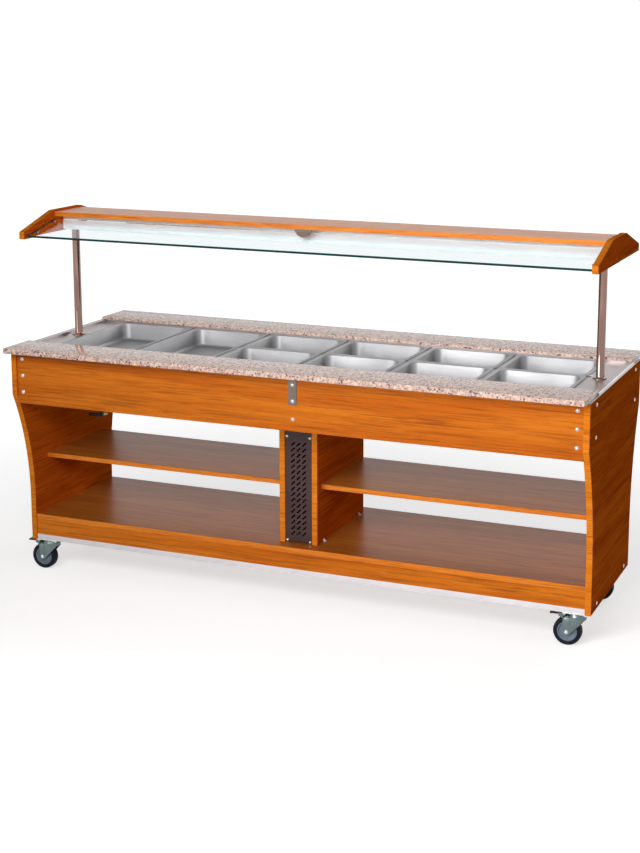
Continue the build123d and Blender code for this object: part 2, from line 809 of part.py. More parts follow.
with BuildPart() as gland:
    with BuildSketch(Plane.XZ.offset(-apron_face)):
        with Locations((gland_x, control_z)):
            RegularPolygon(gland_radius + 2, 6)
    extrude(amount=-6)
    with BuildSketch(Plane.XZ.offset(-(apron_face + 6))):
        with Locations((gland_x, control_z)):
            Circle(gland_radius)
    extrude(amount=-12, taper=12)
    with BuildSketch(Plane.XZ.offset(-apron_face)):
        with Locations((gland_x, control_z)):
            Circle(gland_radius - 2)
    extrude(amount=thin_board + 4)
    with BuildSketch(Plane.XZ.offset(-(apron_face + 18))):
        with Locations((gland_x, control_z)):
            Circle(gland_radius - 6)
    extrude(amount=60, mode=Mode.SUBTRACT)
keep("cable_gland", gland.part)

# Drain: pipe from the tub floor, ball valve and a cranked lever on the customers' side
valve_drop = 90
valve_reach = 26
valve_z = apron_bottom - valve_drop
valve_radius = 17
valve_bottom = valve_z - valve_reach
with BuildPart() as valve:
    with BuildSketch(Plane.XY.offset(tub_bottom)):
        with Locations((drain_x, 0)):
            Circle(drain_pipe_radius)
    extrude(amount=-(tub_bottom - valve_bottom))
    with BuildSketch(Plane.XY.offset(valve_z - valve_radius)):
        with Locations((drain_x, 0)):
            RegularPolygon(valve_radius + 2, 6)
    extrude(amount=2 * valve_radius)
    with BuildSketch(Plane.XZ.offset(0)):
        with Locations((drain_x, valve_z)):
            Circle(5)
    extrude(amount=valve_radius + 14)
    with BuildSketch(Plane.XY.offset(tub_bottom)):
        with Locations((drain_x, 0)):
            Circle(drain_pipe_radius - 2)
    extrude(amount=-(tub_bottom - valve_z - 6), mode=Mode.SUBTRACT)
keep("drain_valve", valve.part)

lever_drop = 24
lever_length = 62
lever_plate = 5
lever_y = valve_radius + 6
with BuildPart() as lever:
    with BuildSketch(Plane.XZ.offset(lever_y)):
        with Locations((drain_x, valve_z)):
            Circle(10)
        with BuildLine():
            top_right = (drain_x + 8, valve_z)
            low_right = (drain_x + 8, valve_z - lever_drop - 6)
            low_left = (drain_x - lever_length + 8, valve_z - lever_drop - 6)
            high_left = (drain_x - lever_length + 8, valve_z - lever_drop + 6)
            elbow = (drain_x - 8, valve_z - lever_drop + 6)
            top_left = (drain_x - 8, valve_z)
            Polyline(top_right, low_right, low_left, high_left, elbow, top_left, close=True)
        make_face()
        with Locations((drain_x, valve_z)):
            Circle(5 + running, mode=Mode.SUBTRACT)
    extrude(amount=lever_plate)
keep("drain_lever", lever.part)

# Screws: low domes on the aprons, strap, panels and covers, hexagon bolts at the casters
front_places = [(side * apron_screw_x, z) for side in (-1, 1) for z in apron_screw_z]
front_places.append((strap_x, apron_screw_z[-1]))
strap_places = [(strap_x, z) for z in strap_screw_z]
grille_places = [(side * grille_screw_x, z) for side in (-1, 1) for z in grille_screw_z]
rear_places = [(side * apron_screw_x, z) for side in (-1, 1) for z in apron_screw_z]
cover_places = [(side * grille_screw_x, z) for side in (-1, 1) for z in grille_screw_z]
corner_x = control_width / 2 - 8
corner_z = control_height / 2 - 8
plate_places = [(control_x + i * corner_x, control_z + j * corner_z) for i in (-1, 1) for j in (-1, 1)]
side_places = [(side * y, z) for side in (-1, 1) for y, z in side_screw_places]
dome_groups = (
    (Plane.XZ.offset(apron_face), front_places, 1, dome_radius),
    (Plane.XZ.offset(apron_face + steel_plate), strap_places, 1, dome_radius),
    (Plane.XZ.offset(column_front - column_cover_inset), grille_places, 1, dome_radius - 2),
    (Plane.XZ.offset(-apron_face), rear_places, -1, dome_radius),
    (Plane.XZ.offset(-(column_back - column_cover_inset)), cover_places, -1, dome_radius - 2),
    (Plane.XZ.offset(-(apron_face + steel_plate)), plate_places, -1, dome_radius - 3),
    (Plane.YZ.offset(cabinet_half_length), side_places, 1, dome_radius),
    (Plane.YZ.offset(-cabinet_half_length), side_places, -1, dome_radius),
)
with BuildPart() as screws:
    for seat, spots, direction, radius in dome_groups:
        with BuildSketch(seat):
            with Locations(*spots):
                RegularPolygon(radius, dome_sides)
        extrude(amount=direction * dome_step)
        with BuildSketch(seat.offset(direction * dome_step)):
            with Locations(*spots):
                RegularPolygon(radius, dome_sides)
        extrude(amount=direction * (dome_height - dome_step), taper=50)
    with BuildSketch(Plane.XY.offset(plate_top)):
        for side in (-1, 1):
            with Locations((side * (post_x - post_foot_radius - 10), 12)):
                RegularPolygon(6, 6)
    extrude(amount=4)
    with BuildSketch(Plane.XY.offset(plate_bottom - bolt_head)):
        for side_x in (-1, 1):
            for side_y in (-1, 1):
                with Locations((side_x * caster_x, side_y * caster_y)):
                    with GridLocations(2 * bolt_x, 2 * bolt_y, 2, 2):
                        RegularPolygon(6.5, 6)
    extrude(amount=bolt_head)
keep("assembly_screws", screws.part)

# Casters: fixed plate with its race and king pin
with BuildPart() as plates:
    for side_x in (-1, 1):
        for side_y in (-1, 1):
            middle = (side_x * caster_x, side_y * caster_y)
            with BuildSketch(Plane.XY.offset(plate_bottom)):
                with Locations(middle):
                    RectangleRounded(caster_plate_x, caster_plate_y, 6)
            extrude(amount=caster_plate)
            with BuildSketch(Plane.XY.offset(fixed_race_bottom)):
                with Locations(middle):
                    Circle(race_radius - 5)
            extrude(amount=plate_bottom - fixed_race_bottom)
            with BuildSketch(Plane.XY.offset(fixed_race_bottom)):
                with Locations(middle):
                    Circle(king_pin_radius + running)
            extrude(amount=panel_bottom - fixed_race_bottom, mode=Mode.SUBTRACT)
            with BuildSketch(Plane.XY.offset(crown_bottom - 6)):
                with Locations(middle):
                    Circle(king_pin_radius)
            extrude(amount=panel_bottom - 1 - crown_bottom + 6)
            with BuildSketch(Plane.XY.offset(crown_bottom - 6)):
                with Locations(middle):
                    RegularPolygon(10, 6)
            extrude(amount=6 - race_gap)
keep("caster_plates", plates.part)


# Fork: race, crown and two raked legs of sheet; the braked one has ears for the pedal's pin
def make_fork(x, y, braked):
    with BuildPart() as fork:
        with BuildSketch(Plane.XY.offset(crown_bottom)):
            with Locations((x, y)):
                Circle(race_radius)
            with Locations((x - 8, y)):
                Rectangle(64, 2 * fork_outer)
        extrude(amount=crown_top - crown_bottom)
        with BuildSketch(Plane.XY.offset(crown_top)):
            with Locations((x, y)):
                Circle(race_radius)
        extrude(amount=fixed_race_bottom - race_gap - crown_top, taper=12)
        for side in (-1, 1):
            with BuildSketch(Plane.XZ.offset(-y + side * fork_outer)):
                with BuildLine():
                    points = [
                        (x + 24, crown_top),
                        (x + 30, crown_bottom - 6),
                        (x - axle_trail + 10, wheel_radius - 8),
                        (x - axle_trail, wheel_radius - 13),
                        (x - axle_trail - 11, wheel_radius - 6),
                        (x - axle_trail - 12, wheel_radius + 4),
                        (x - 40, crown_bottom - 14),
                    ]
                    if braked:
                        points += [
                            (x + pivot_x - 10, crown_bottom - 2),
                            (x + pivot_x - 8, pivot_z + 5),
                            (x + pivot_x + 8, pivot_z + 5),
                        ]
                    points += [(x - 40, crown_top)]
                    Polyline(*points, close=True)
                make_face()
            extrude(amount=-side * fork_sheet)
        with BuildSketch(Plane.XY.offset(crown_bottom - 1)):
            with Locations((x, y)):
                Circle(king_pin_radius + running)
        extrude(amount=fixed_race_bottom, mode=Mode.SUBTRACT)
        axle = fork_outer + 3
        with BuildSketch(Plane.XZ.offset(-y - axle)):
            with Locations((x - axle_trail, wheel_radius)):
                Circle(axle_radius)
        extrude(amount=2 * axle)
        for side in (-1, 1):
            with BuildSketch(Plane.XZ.offset(-y + side * fork_outer)):
                with Locations((x - axle_trail, wheel_radius)):
                    Circle(9)
            extrude(amount=side * 5, taper=30)
        if braked:
            with BuildSketch(Plane.XZ.offset(-y - fork_outer - 2)):
                with Locations((x + pivot_x, pivot_z)):
                    Circle(pivot_radius)
            extrude(amount=2 * (fork_outer + 2))
    return fork.part


def make_hub(x, y):
    with BuildPart() as hub:
        with BuildSketch(Plane.XY.offset(wheel_radius)):
            with BuildLine():
                outline = [
                    (x - axle_trail + axle_radius + running, y - hub_half_width),
                    (x - axle_trail + 12, y - hub_half_width),
                    (x - axle_trail + 14, y - 11),
                    (x - axle_trail + 26, y - 9),
                    (x - axle_trail + 30, y - 13),
                    (x - axle_trail + hub_radius, y - 13),
                    (x - axle_trail + hub_radius, y + 13),
                    (x - axle_trail + 30, y + 13),
                    (x - axle_trail + 26, y + 9),
                    (x - axle_trail + 14, y + 11),
                    (x - axle_trail + 12, y + hub_half_width),
                    (x - axle_trail + axle_radius + running, y + hub_half_width),
                ]
                Polyline(*outline, close=True)
            make_face()
        revolve(axis=Axis((x - axle_trail, y, wheel_radius), (0, 1, 0)))
    return hub.part


def make_tyre(x, y):
    with BuildPart() as tyre:
        with BuildSketch(Plane.XY.offset(wheel_radius)):
            with Locations((x - axle_trail + (hub_radius + wheel_radius) / 2, y)):
                Rectangle(wheel_radius - hub_radius, 2 * tyre_half_width)
            chamfer(vertices().group_by(Axis.X)[-1], 4)
        revolve(axis=Axis((x - axle_trail, y, wheel_radius), (0, 1, 0)))
    return tyre.part


# Pedal: a wide foot pad and a neck between the ears, with the shoe under its pin
def make_pedal(x, y):
    with BuildPart() as pedal:
        with BuildSketch(Plane.XZ.offset(-y + pedal_neck_half_width)):
            with BuildLine():
                Polyline(
                    (x - 36, pivot_z + 4),
                    (x - 36, pivot_z + 8),
                    (x + pivot_x - 12, pivot_z + 8),
                    (x + pivot_x - 12, pivot_z + 2),
                    (x + pivot_x - 6, crown_bottom - 8),
                    (x + pivot_x, crown_bottom - 6.8),
                    (x + pivot_x + 6, pivot_z - 2),
                    close=True,
                )
            make_face()
            with Locations((x + pivot_x, pivot_z)):
                Circle(pivot_radius + running, mode=Mode.SUBTRACT)
        extrude(amount=-2 * pedal_neck_half_width)
        with BuildSketch(Plane.XZ.offset(-y + pedal_half_width)):
            with BuildLine():
                Polyline(
                    (x + pivot_x - 12, pivot_z + 8),
                    (x + pedal_tip + 14, pivot_z + 8),
                    (x + pedal_tip, pivot_z + 3),
                    (x + pedal_tip, pivot_z - 1),
                    (x + pedal_tip + 14, pivot_z + 3),
                    (x + pivot_x - 12, pivot_z + 3),
                    close=True,
                )
            make_face()
        extrude(amount=-2 * pedal_half_width)
    return pedal.part


corners = (
    ("front_left", -1, -1, True),
    ("front_right", 1, -1, True),
    ("rear_left", -1, 1, False),
    ("rear_right", 1, 1, False),
)
for corner_name, side_x, side_y, braked in corners:
    swivel_x = side_x * caster_x
    swivel_y = side_y * caster_y
    keep(f"fork_{corner_name}", make_fork(swivel_x, swivel_y, braked))
    keep(f"hub_{corner_name}", make_hub(swivel_x, swivel_y))
    keep(f"tyre_{corner_name}", make_tyre(swivel_x, swivel_y))
    if braked:
        keep(f"pedal_{corner_name}", make_pedal(swivel_x, swivel_y))

os.makedirs("parts", exist_ok=True)
for name, part in pieces.items():
    placed = part.moved(Location((cabinet_shift, 0, 0)))
    placed.label = name
    export_step(placed, f"parts/{name}.step")
print(len(pieces), "pieces, shift", cabinet_shift)
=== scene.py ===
"""Looks of a heated serving cart: wood cabinet, stone tray slides, steel well and glazed lamp canopy."""

import json
import logging
import math
from collections.abc import Callable, Iterator, Sequence
from contextlib import contextmanager
from dataclasses import dataclass
from enum import Enum
from itertools import pairwise

import bmesh
import bpy
from bpy.types import Material, Node, NodeSocket, NodeTree, Object
from mathutils import Matrix, Vector


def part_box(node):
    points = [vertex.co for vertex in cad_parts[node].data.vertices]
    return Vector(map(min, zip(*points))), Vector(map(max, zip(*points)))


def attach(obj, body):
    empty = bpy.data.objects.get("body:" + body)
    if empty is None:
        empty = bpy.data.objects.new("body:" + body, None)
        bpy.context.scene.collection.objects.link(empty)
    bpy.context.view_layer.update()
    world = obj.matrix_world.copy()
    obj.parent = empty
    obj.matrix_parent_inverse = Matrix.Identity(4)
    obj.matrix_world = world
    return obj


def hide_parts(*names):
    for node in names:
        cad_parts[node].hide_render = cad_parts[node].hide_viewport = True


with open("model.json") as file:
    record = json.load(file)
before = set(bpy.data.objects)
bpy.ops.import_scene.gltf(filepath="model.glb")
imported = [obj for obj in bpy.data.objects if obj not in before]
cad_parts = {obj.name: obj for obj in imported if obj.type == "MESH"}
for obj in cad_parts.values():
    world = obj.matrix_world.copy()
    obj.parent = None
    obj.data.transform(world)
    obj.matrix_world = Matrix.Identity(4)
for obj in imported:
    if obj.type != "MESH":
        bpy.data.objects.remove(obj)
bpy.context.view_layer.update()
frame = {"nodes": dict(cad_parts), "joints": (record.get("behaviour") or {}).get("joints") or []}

MM = 0.001
# Points closer than this are one point
HAIR = 0.01 * MM
# A direction with more than this share along an axis runs along it
ALONG = 0.9
RGB = tuple[float, float, float]
Tones = tuple[RGB, RGB, RGB]
Span = tuple[float, float]
Test = Callable[[Vector, Vector], bool]

log = logging.getLogger("serving cart")


class Grain(Enum):
    """The way a board's grain runs."""

    LENGTHWISE = (0.0, 0.0, 0.0)
    UPRIGHT = (0.0, math.pi / 2, 0.0)
    FRONT_TO_BACK = (0.0, 0.0, math.pi / 2)


class Face(Enum):
    """The direction that a board's broad faces look in."""

    ALONG_X = 0
    ALONG_Y = 1
    ALONG_Z = 2


class Turn(Enum):
    """Where the upper end of a turned piece points, as a turn of the piece in radians."""

    UP = (0.0, 0.0, 0.0)
    DOWN = (math.pi, 0.0, 0.0)
    FRONT = (math.pi / 2, 0.0, 0.0)
    REAR = (-math.pi / 2, 0.0, 0.0)
    RIGHT = (0.0, math.pi / 2, 0.0)
    LEFT = (0.0, -math.pi / 2, 0.0)


# Work at the bench: small steps that every piece uses


def clear_selection() -> None:
    """Deselects every object, so that an operator acts on nothing by chance."""
    bpy.ops.object.select_all(action="DESELECT")
    bpy.context.view_layer.objects.active = None


def take(piece: Object) -> None:
    """Makes one object the only selected and active one."""
    clear_selection()
    piece.select_set(True)
    bpy.context.view_layer.objects.active = piece


@contextmanager
def shaping(piece: Object) -> Iterator[None]:
    """Opens a piece in edit mode with nothing selected, and closes it afterwards.

    Args:
        piece: the mesh object to shape.
    """
    take(piece)
    bpy.ops.object.mode_set(mode="EDIT")
    bpy.ops.mesh.select_all(action="DESELECT")
    yield
    bpy.ops.object.mode_set(mode="OBJECT")


def fixed() -> Object:
    """Applies the active piece's place, turn and scale to its mesh."""
    bpy.ops.object.transform_apply(location=True, rotation=True, scale=True)
    return bpy.context.active_object


def pick_faces(piece: Object, test: Test) -> None:
    """Selects the faces whose middle and normal pass a test, in edit mode."""
    bpy.ops.mesh.select_mode(type="FACE")
    mesh = bmesh.from_edit_mesh(piece.data)
    for face in mesh.faces:
        face.select_set(test(face.calc_center_median(), face.normal))
    mesh.select_flush_mode()
    bmesh.update_edit_mesh(piece.data)


def pick_edges(piece: Object, test: Test) -> None:
    """Selects the edges whose middle and direction pass a test, in edit mode."""
    bpy.ops.mesh.select_mode(type="EDGE")
    mesh = bmesh.from_edit_mesh(piece.data)
    for edge in mesh.edges:
        middle = (edge.verts[0].co + edge.verts[1].co) / 2
        along = (edge.verts[1].co - edge.verts[0].co).normalized()
        edge.select_set(test(middle, along))
    mesh.select_flush_mode()
    bmesh.update_edit_mesh(piece.data)


def upright(middle: Vector, along: Vector) -> bool:
    """True for an edge that stands upright."""
    return abs(along.z) > ALONG


def level(middle: Vector, along: Vector) -> bool:
    """True for an edge that lies level."""
    return abs(along.z) < 1 - ALONG


def facing(axis: int, side: int) -> Test:
    """Returns a test for faces that look along an axis, to its side 1 or -1."""
    return lambda middle, normal: normal[axis] * side > ALONG


def extrude(move: Sequence[float], middle: Sequence[float] = (0, 0, 0), size: Sequence[float] = (1, 1, 1)) -> None:
    """Extrudes what is selected and then resizes the new end.

    Args:
        move: how far the new end goes.
        middle: the point that the resize keeps in place.
        size: the resize along each axis.
    """
    bpy.ops.mesh.extrude_region_move(TRANSFORM_OT_translate={"value": tuple(move)})
    if tuple(size) != (1, 1, 1):
        bpy.ops.transform.resize(value=tuple(size), center_override=tuple(middle))


def block(size: Sequence[float], middle: Sequence[float]) -> Object:
    """Adds a block at its size and place.

    Args:
        size: length along X, Y and Z.
        middle: the block's middle.

    Returns:
        The block, with its place in its mesh.
    """
    clear_selection()
    bpy.ops.mesh.primitive_cube_add(size=1, location=tuple(middle))
    bpy.context.active_object.scale = tuple(size)
    return fixed()


def box_between(ends: Span, middle_y: float, width: float, heights: Span) -> Object:
    """Adds a block that is given by its ends along X, its width about a middle in Y, and its low and high side."""
    size = (ends[1] - ends[0], width, heights[1] - heights[0])
    return block(size, (sum(ends) / 2, middle_y, sum(heights) / 2))


def in_mm(*pairs: Span) -> list[Span]:
    """Turns pairs of millimetres, such as a ring's radius and height, into metres."""
    return [(first * MM, second * MM) for first, second in pairs]


def round_edges(piece: Object, width: float, steps: int, test: Test | None = None) -> None:
    """Rounds the edges of a piece that pass a test, or all of them.

    Args:
        piece: the piece to round.
        width: how far the rounding reaches.
        steps: the number of facets across it.
        test: takes an edge's middle and direction.
    """
    with shaping(piece):
        pick_edges(piece, test or (lambda middle, along: True))
        bpy.ops.mesh.bevel(offset=width, segments=steps, affect="EDGES", profile=0.5)


def turned(rings: Sequence[tuple[float, float]], sides: int = 24, closed: bool = False) -> Object:
    """Turns a body about Z.

    Args:
        rings: radius and height of each ring, from one end to the other or round a closed outline.
        sides: the number of facets round it.
        closed: whether the outline closes on itself and leaves a bore.

    Returns:
        The body, about the origin.
    """
    clear_selection()
    fill = "NOTHING" if closed else "NGON"
    bpy.ops.mesh.primitive_circle_add(vertices=sides, radius=rings[0][0], fill_type=fill, location=(0, 0, rings[0][1]))
    piece = fixed()
    with shaping(piece):
        if closed:
            bpy.ops.mesh.select_mode(type="EDGE")
        bpy.ops.mesh.select_all(action="SELECT")
        for (radius, height), (next_radius, next_height) in pairwise([*rings, rings[0]] if closed else rings):
            share = next_radius / radius
            extrude((0, 0, next_height - height), (0, 0, next_height), (share, share, 1))
    return settle(piece)


def cut(piece: Object, at: Sequence[float], away: Sequence[float]) -> Object:
    """Cuts a piece along a plane and closes the cut.

    Args:
        piece: the piece to cut.
        at: a point of the plane.
        away: the plane's normal, on the side that falls off.

    Returns:
        The same piece.
    """
    with shaping(piece):
        bpy.ops.mesh.select_all(action="SELECT")
        normal = Vector(away).normalized()
        bpy.ops.mesh.bisect(plane_co=tuple(at), plane_no=tuple(normal), use_fill=True, clear_outer=True)
    return piece


def settle(piece: Object) -> Object:
    """Merges a piece's doubles and turns its faces outwards."""
    with shaping(piece):
        bpy.ops.mesh.select_all(action="SELECT")
        bpy.ops.mesh.remove_doubles(threshold=HAIR)
        bpy.ops.mesh.normals_make_consistent(inside=False)
    return piece


def place(piece: Object, at: Sequence[float], turn: Sequence[float] = (0, 0, 0)) -> Object:
    """Turns and moves a piece, and keeps its place in its mesh.

    Args:
        piece: the piece, drawn about the origin.
        at: where its origin goes.
        turn: its turn about X, Y and Z.

    Returns:
        The same piece.
    """
    take(piece)
    piece.rotation_euler = tuple(turn)
    piece.location = tuple(at)
    return fixed()


def modified(piece: Object, kind: str, **settings: object) -> Object:
    """Adds a modifier with its settings and applies it.

    Args:
        piece: the piece to change.
        kind: the modifier's type.
        settings: the modifier's own values.

    Returns:
        The same piece.
    """
    take(piece)
    modifier = piece.modifiers.new(kind.title(), kind)
    for name, value in settings.items():
        setattr(modifier, name, value)
    bpy.ops.object.modifier_apply(modifier=modifier.name)
    return piece


def soften(piece: Object, width: float, degrees: float = 50) -> Object:
    """Rounds the edges where a piece's faces meet at more than an angle."""
    return modified(piece, "BEVEL", width=width, segments=2, limit_method="ANGLE", angle_limit=math.radians(degrees))


def discard(*masters: Object) -> None:
    """Removes the pieces that others were copied from."""
    for master in masters:
        bpy.data.objects.remove(master)


def copied(piece: Object, offset: Sequence[float] = (0, 0, 0)) -> Object:
    """Copies a piece with a mesh of its own, moved by an offset."""
    twin = piece.copy()
    twin.data = piece.data.copy()
    bpy.context.scene.collection.objects.link(twin)
    return place(twin, offset)


def joined(pieces: Sequence[Object]) -> Object:
    """Joins several pieces into the first one."""
    take(pieces[0])
    for piece in pieces:
        piece.select_set(True)
    bpy.ops.object.join()
    return pieces[0]


def smooth(piece: Object, degrees: float = 35) -> Object:
    """Shades a piece smooth where its faces meet at less than an angle."""
    take(piece)
    bpy.ops.object.shade_smooth_by_angle(angle=math.radians(degrees))
    return piece


def solids(node: str) -> list[tuple[Vector, Vector]]:
    """The boxes of the separate solids in a frame node.

    Args:
        node: the node's name.

    Returns:
        Lowest and highest corner of each solid, from left to right.
    """
    mesh = bmesh.new()
    mesh.from_mesh(frame["nodes"][node].data)
    bmesh.ops.remove_doubles(mesh, verts=mesh.verts, dist=0.005 * MM)
    boxes: list[tuple[Vector, Vector]] = []
    waiting = set(mesh.verts)
    while waiting:
        front = [waiting.pop()]
        group = list(front)
        while front:
            linked = {vertex for link in front.pop().link_edges for vertex in link.verts} & waiting
            waiting -= linked
            group.extend(linked)
            front.extend(linked)
        low, high = (Vector([end(vertex.co[axis] for vertex in group) for axis in range(3)]) for end in (min, max))
        boxes.append((low, high))
    mesh.free()
    return sorted(boxes, key=lambda box: (round(box[0].x, 5), round(box[0].y, 5), round(box[0].z, 5)))


# Shader bench


class Bench:
    """Adds shader nodes to one tree and links them."""

    def __init__(self, tree: NodeTree) -> None:
        """Starts on an empty tree."""
        self.tree = tree
        tree.nodes.clear()

    def add(self, kind: str, **settings: object) -> Node:
        """Adds a node and gives it its settings.

        Args:
            kind: the node's type name.
            settings: its own properties.

        Returns:
            The new node.
        """
        node = self.tree.nodes.new(kind)
        for name, value in settings.items():
            setattr(node, name, value)
        return node

    def feed(self, socket: NodeSocket, value: object) -> None:
        """Links a socket into an input, or writes a plain value there."""
        if isinstance(value, NodeSocket):
            self.tree.links.new(value, socket)
        elif isinstance(value, tuple) and len(value) == 3 and socket.type == "RGBA":
            socket.default_value = (*value, 1.0)
        else:
            socket.default_value = value

    def give(self, node: Node, **values: object) -> Node:
        """Feeds a node's inputs by name, with _ for a space."""
        for name, value in values.items():
            self.feed(node.inputs[name.replace("_", " ")], value)
        return node

    def stretch(self, vector: NodeSocket, scale: RGB, turn: RGB = (0.0, 0.0, 0.0)) -> NodeSocket:
        """Turns and scales coordinates.

        Args:
            vector: the coordinates.
            scale: the scale along each axis, after the turn.
            turn: the turn about each axis.

        Returns:
            The new coordinates.
        """
        if any(turn):
            spun = self.add("ShaderNodeMapping", vector_type="TEXTURE")
            vector = self.give(spun, Vector=vector, Rotation=turn).outputs["Vector"]
        return self.give(self.add("ShaderNodeMapping"), Vector=vector, Scale=scale).outputs["Vector"]

    def noise(
        self, vector: NodeSocket, scale: object, detail: float = 4, rough: float = 0.5, warp: float = 0
    ) -> NodeSocket:
        """Adds a noise pattern and returns its value."""
        node = self.add("ShaderNodeTexNoise")
        self.give(node, Vector=vector, Scale=scale, Detail=detail, Roughness=rough, Distortion=warp)
        return node.outputs["Fac"]

    def reach(self, value: NodeSocket, low: float, high: float, to_low: float = 0, to_high: float = 1) -> NodeSocket:
        """Maps a value from one range to another, with its ends held.

        Args:
            value: the value to map.
            low: the value that gives to_low.
            high: the value that gives to_high.
            to_low: the result at the low end.
            to_high: the result at the high end.

        Returns:
            The mapped value.
        """
        node = self.add("ShaderNodeMapRange")
        self.give(node, Value=value, From_Min=low, From_Max=high, To_Min=to_low, To_Max=to_high)
        return node.outputs["Result"]

    def sum(self, operation: str, first: object, second: object) -> NodeSocket:
        """Works out one sum of two values or sockets."""
        node = self.add("ShaderNodeMath", operation=operation)
        self.feed(node.inputs[0], first)
        self.feed(node.inputs[1], second)
        return node.outputs["Value"]

    def blend(self, share: object, first: object, second: object) -> NodeSocket:
        """Blends two colours by a share."""
        node = self.add("ShaderNodeMix", data_type="RGBA")
        for socket, value in zip((node.inputs["Factor"], node.inputs[6], node.inputs[7]), (share, first, second)):
            self.feed(socket, value)
        return node.outputs[2]

    def bump(self, height: NodeSocket, strength: float, distance: float) -> NodeSocket:
        """Turns a height into a normal."""
        node = self.add("ShaderNodeBump")
        return self.give(node, Height=height, Strength=strength, Distance=distance).outputs["Normal"]

    def group(self, tree: NodeTree, **values: object) -> Node:
        """Places a node group and feeds its inputs by name."""
        return self.give(self.add("ShaderNodeGroup", node_tree=tree), **values)

    def seen(self, *kinds: str) -> NodeSocket:
        """Returns 1 for the kinds of light path that are named and 0 for others."""
        path = self.add("ShaderNodeLightPath")
        found = path.outputs[kinds[0]]
        for kind in kinds[1:]:
            found = self.sum("MAXIMUM", found, path.outputs[kind])
        return found


SOCKET_KINDS = {"Vector": "NodeSocketVector"} | dict.fromkeys(
    ("Roughness", "Height", "Grain Scale", "Base Roughness"), "NodeSocketFloat"
)
Sockets = dict[str, NodeSocket]
Draw = Callable[[Bench, Sockets], Sockets]


def group_tree(name: str, inputs: Sequence[str], outputs: Sequence[str]) -> Callable[[Draw], Callable[[], NodeTree]]:
    """Makes a drawing function into one that returns its node group, which it draws the first time.

    Args:
        name: the group's name.
        inputs: the names of its inputs after the vector.
        outputs: the names of its outputs.

    Returns:
        The decorator.
    """

    def wrap(draw: Draw) -> Callable[[], NodeTree]:
        """Returns the function that gives the tree."""

        def tree() -> NodeTree:
            """Returns the tree."""
            found = bpy.data.node_groups.get(name)
            if found:
                return found
            made = bpy.data.node_groups.new(name, "ShaderNodeTree")
            for way, labels in (("INPUT", ("Vector", *inputs)), ("OUTPUT", outputs)):
                for label in labels:
                    made.interface.new_socket(label, in_out=way, socket_type=SOCKET_KINDS.get(label, "NodeSocketColor"))
            bench = Bench(made)
            given = {socket.name: socket for socket in bench.add("NodeGroupInput").outputs if socket.name}
            bench.give(bench.add("NodeGroupOutput"), **draw(bench, given))
            return made

        return tree

    return wrap


@group_tree("wood figure", ("Light", "Middle", "Dark"), ("Colour", "Roughness", "Height"))
def wood_figure(bench: Bench, given: Sockets) -> Sockets:
    """The laminate's printed wood: soft bands, fine fibres, dark streaks and short pores along X."""

    def figure(along: float, across: float, detail: float, rough: float = 0.5, warp: float = 0) -> NodeSocket:
        """Returns noise that is drawn out along the grain."""
        return bench.noise(bench.stretch(given["Vector"], (along, across, across)), 1, detail, rough, warp)

    dark = given["Dark"]
    fibre = figure(9, 330, 5, 0.65)
    ground = bench.blend(bench.reach(figure(0.9, 13, 4, 0.55, 0.9), 0.36, 0.64), given["Light"], given["Middle"])
    ground = bench.blend(bench.reach(figure(2.2, 48, 3, 0.5, 0.6), 0.42, 0.70, 0, 0.55), ground, given["Middle"])
    ground = bench.blend(bench.reach(fibre, 0.48, 0.78, 0, 0.42), ground, dark)
    ground = bench.blend(bench.reach(figure(5.2, 205, 2, 0.5, 0.3), 0.53, 0.66, 0, 0.40), ground, dark)
    streaks = bench.reach(figure(3.1, 118, 3, 0.6, 0.5), 0.55, 0.63)
    lines = bench.sum("MULTIPLY", streaks, bench.reach(figure(1.4, 9, 2), 0.38, 0.56))
    ground = bench.blend(bench.sum("MULTIPLY", lines, 0.52), ground, dark)
    ground = bench.blend(bench.reach(figure(34, 720, 2), 0.63, 0.72, 0, 0.45), ground, dark)
    return {
        "Colour": ground,
        "Roughness": bench.reach(fibre, 0.3, 0.7, 0.26, 0.40),
        "Height": bench.sum("SUBTRACT", fibre, lines),
    }


@group_tree("stone speckle", ("Cream", "Rose", "Mauve", "Black"), ("Colour", "Height"))
def stone_speckle(bench: Bench, given: Sockets) -> Sockets:
    """Polished granite: interlocked grains of four colours with small dark flecks."""
    wander = bench.noise(given["Vector"], 260, 3, 0.6).node
    shift = bench.add("ShaderNodeVectorMath", operation="MULTIPLY_ADD")
    for socket, value in zip(shift.inputs, (wander.outputs["Color"], (0.007, 0.007, 0.007), given["Vector"])):
        bench.feed(socket, value)
    masks = []
    for scale, low, high in ((150, 0.45, 0.51), (190, 0.62, 0.68), (175, 0.83, 0.87)):
        cells = bench.give(bench.add("ShaderNodeTexVoronoi"), Vector=shift.outputs["Vector"], Scale=scale)
        lot = bench.give(bench.add("ShaderNodeSeparateColor"), Color=cells.outputs["Color"])
        masks.append(bench.reach(lot.outputs["Red"], low, high))
    clouds = bench.noise(given["Vector"], 16, 3, 0.6)
    ground = bench.blend(masks[0], given["Cream"], given["Rose"])
    ground = bench.blend(bench.sum("MULTIPLY", masks[1], 0.70), ground, given["Mauve"])
    flecks = bench.sum("MULTIPLY", masks[2], bench.reach(clouds, 0.36, 0.62, 0.45, 1))
    return {"Colour": bench.blend(flecks, ground, given["Black"]), "Height": bench.sum("ADD", masks[0], flecks)}


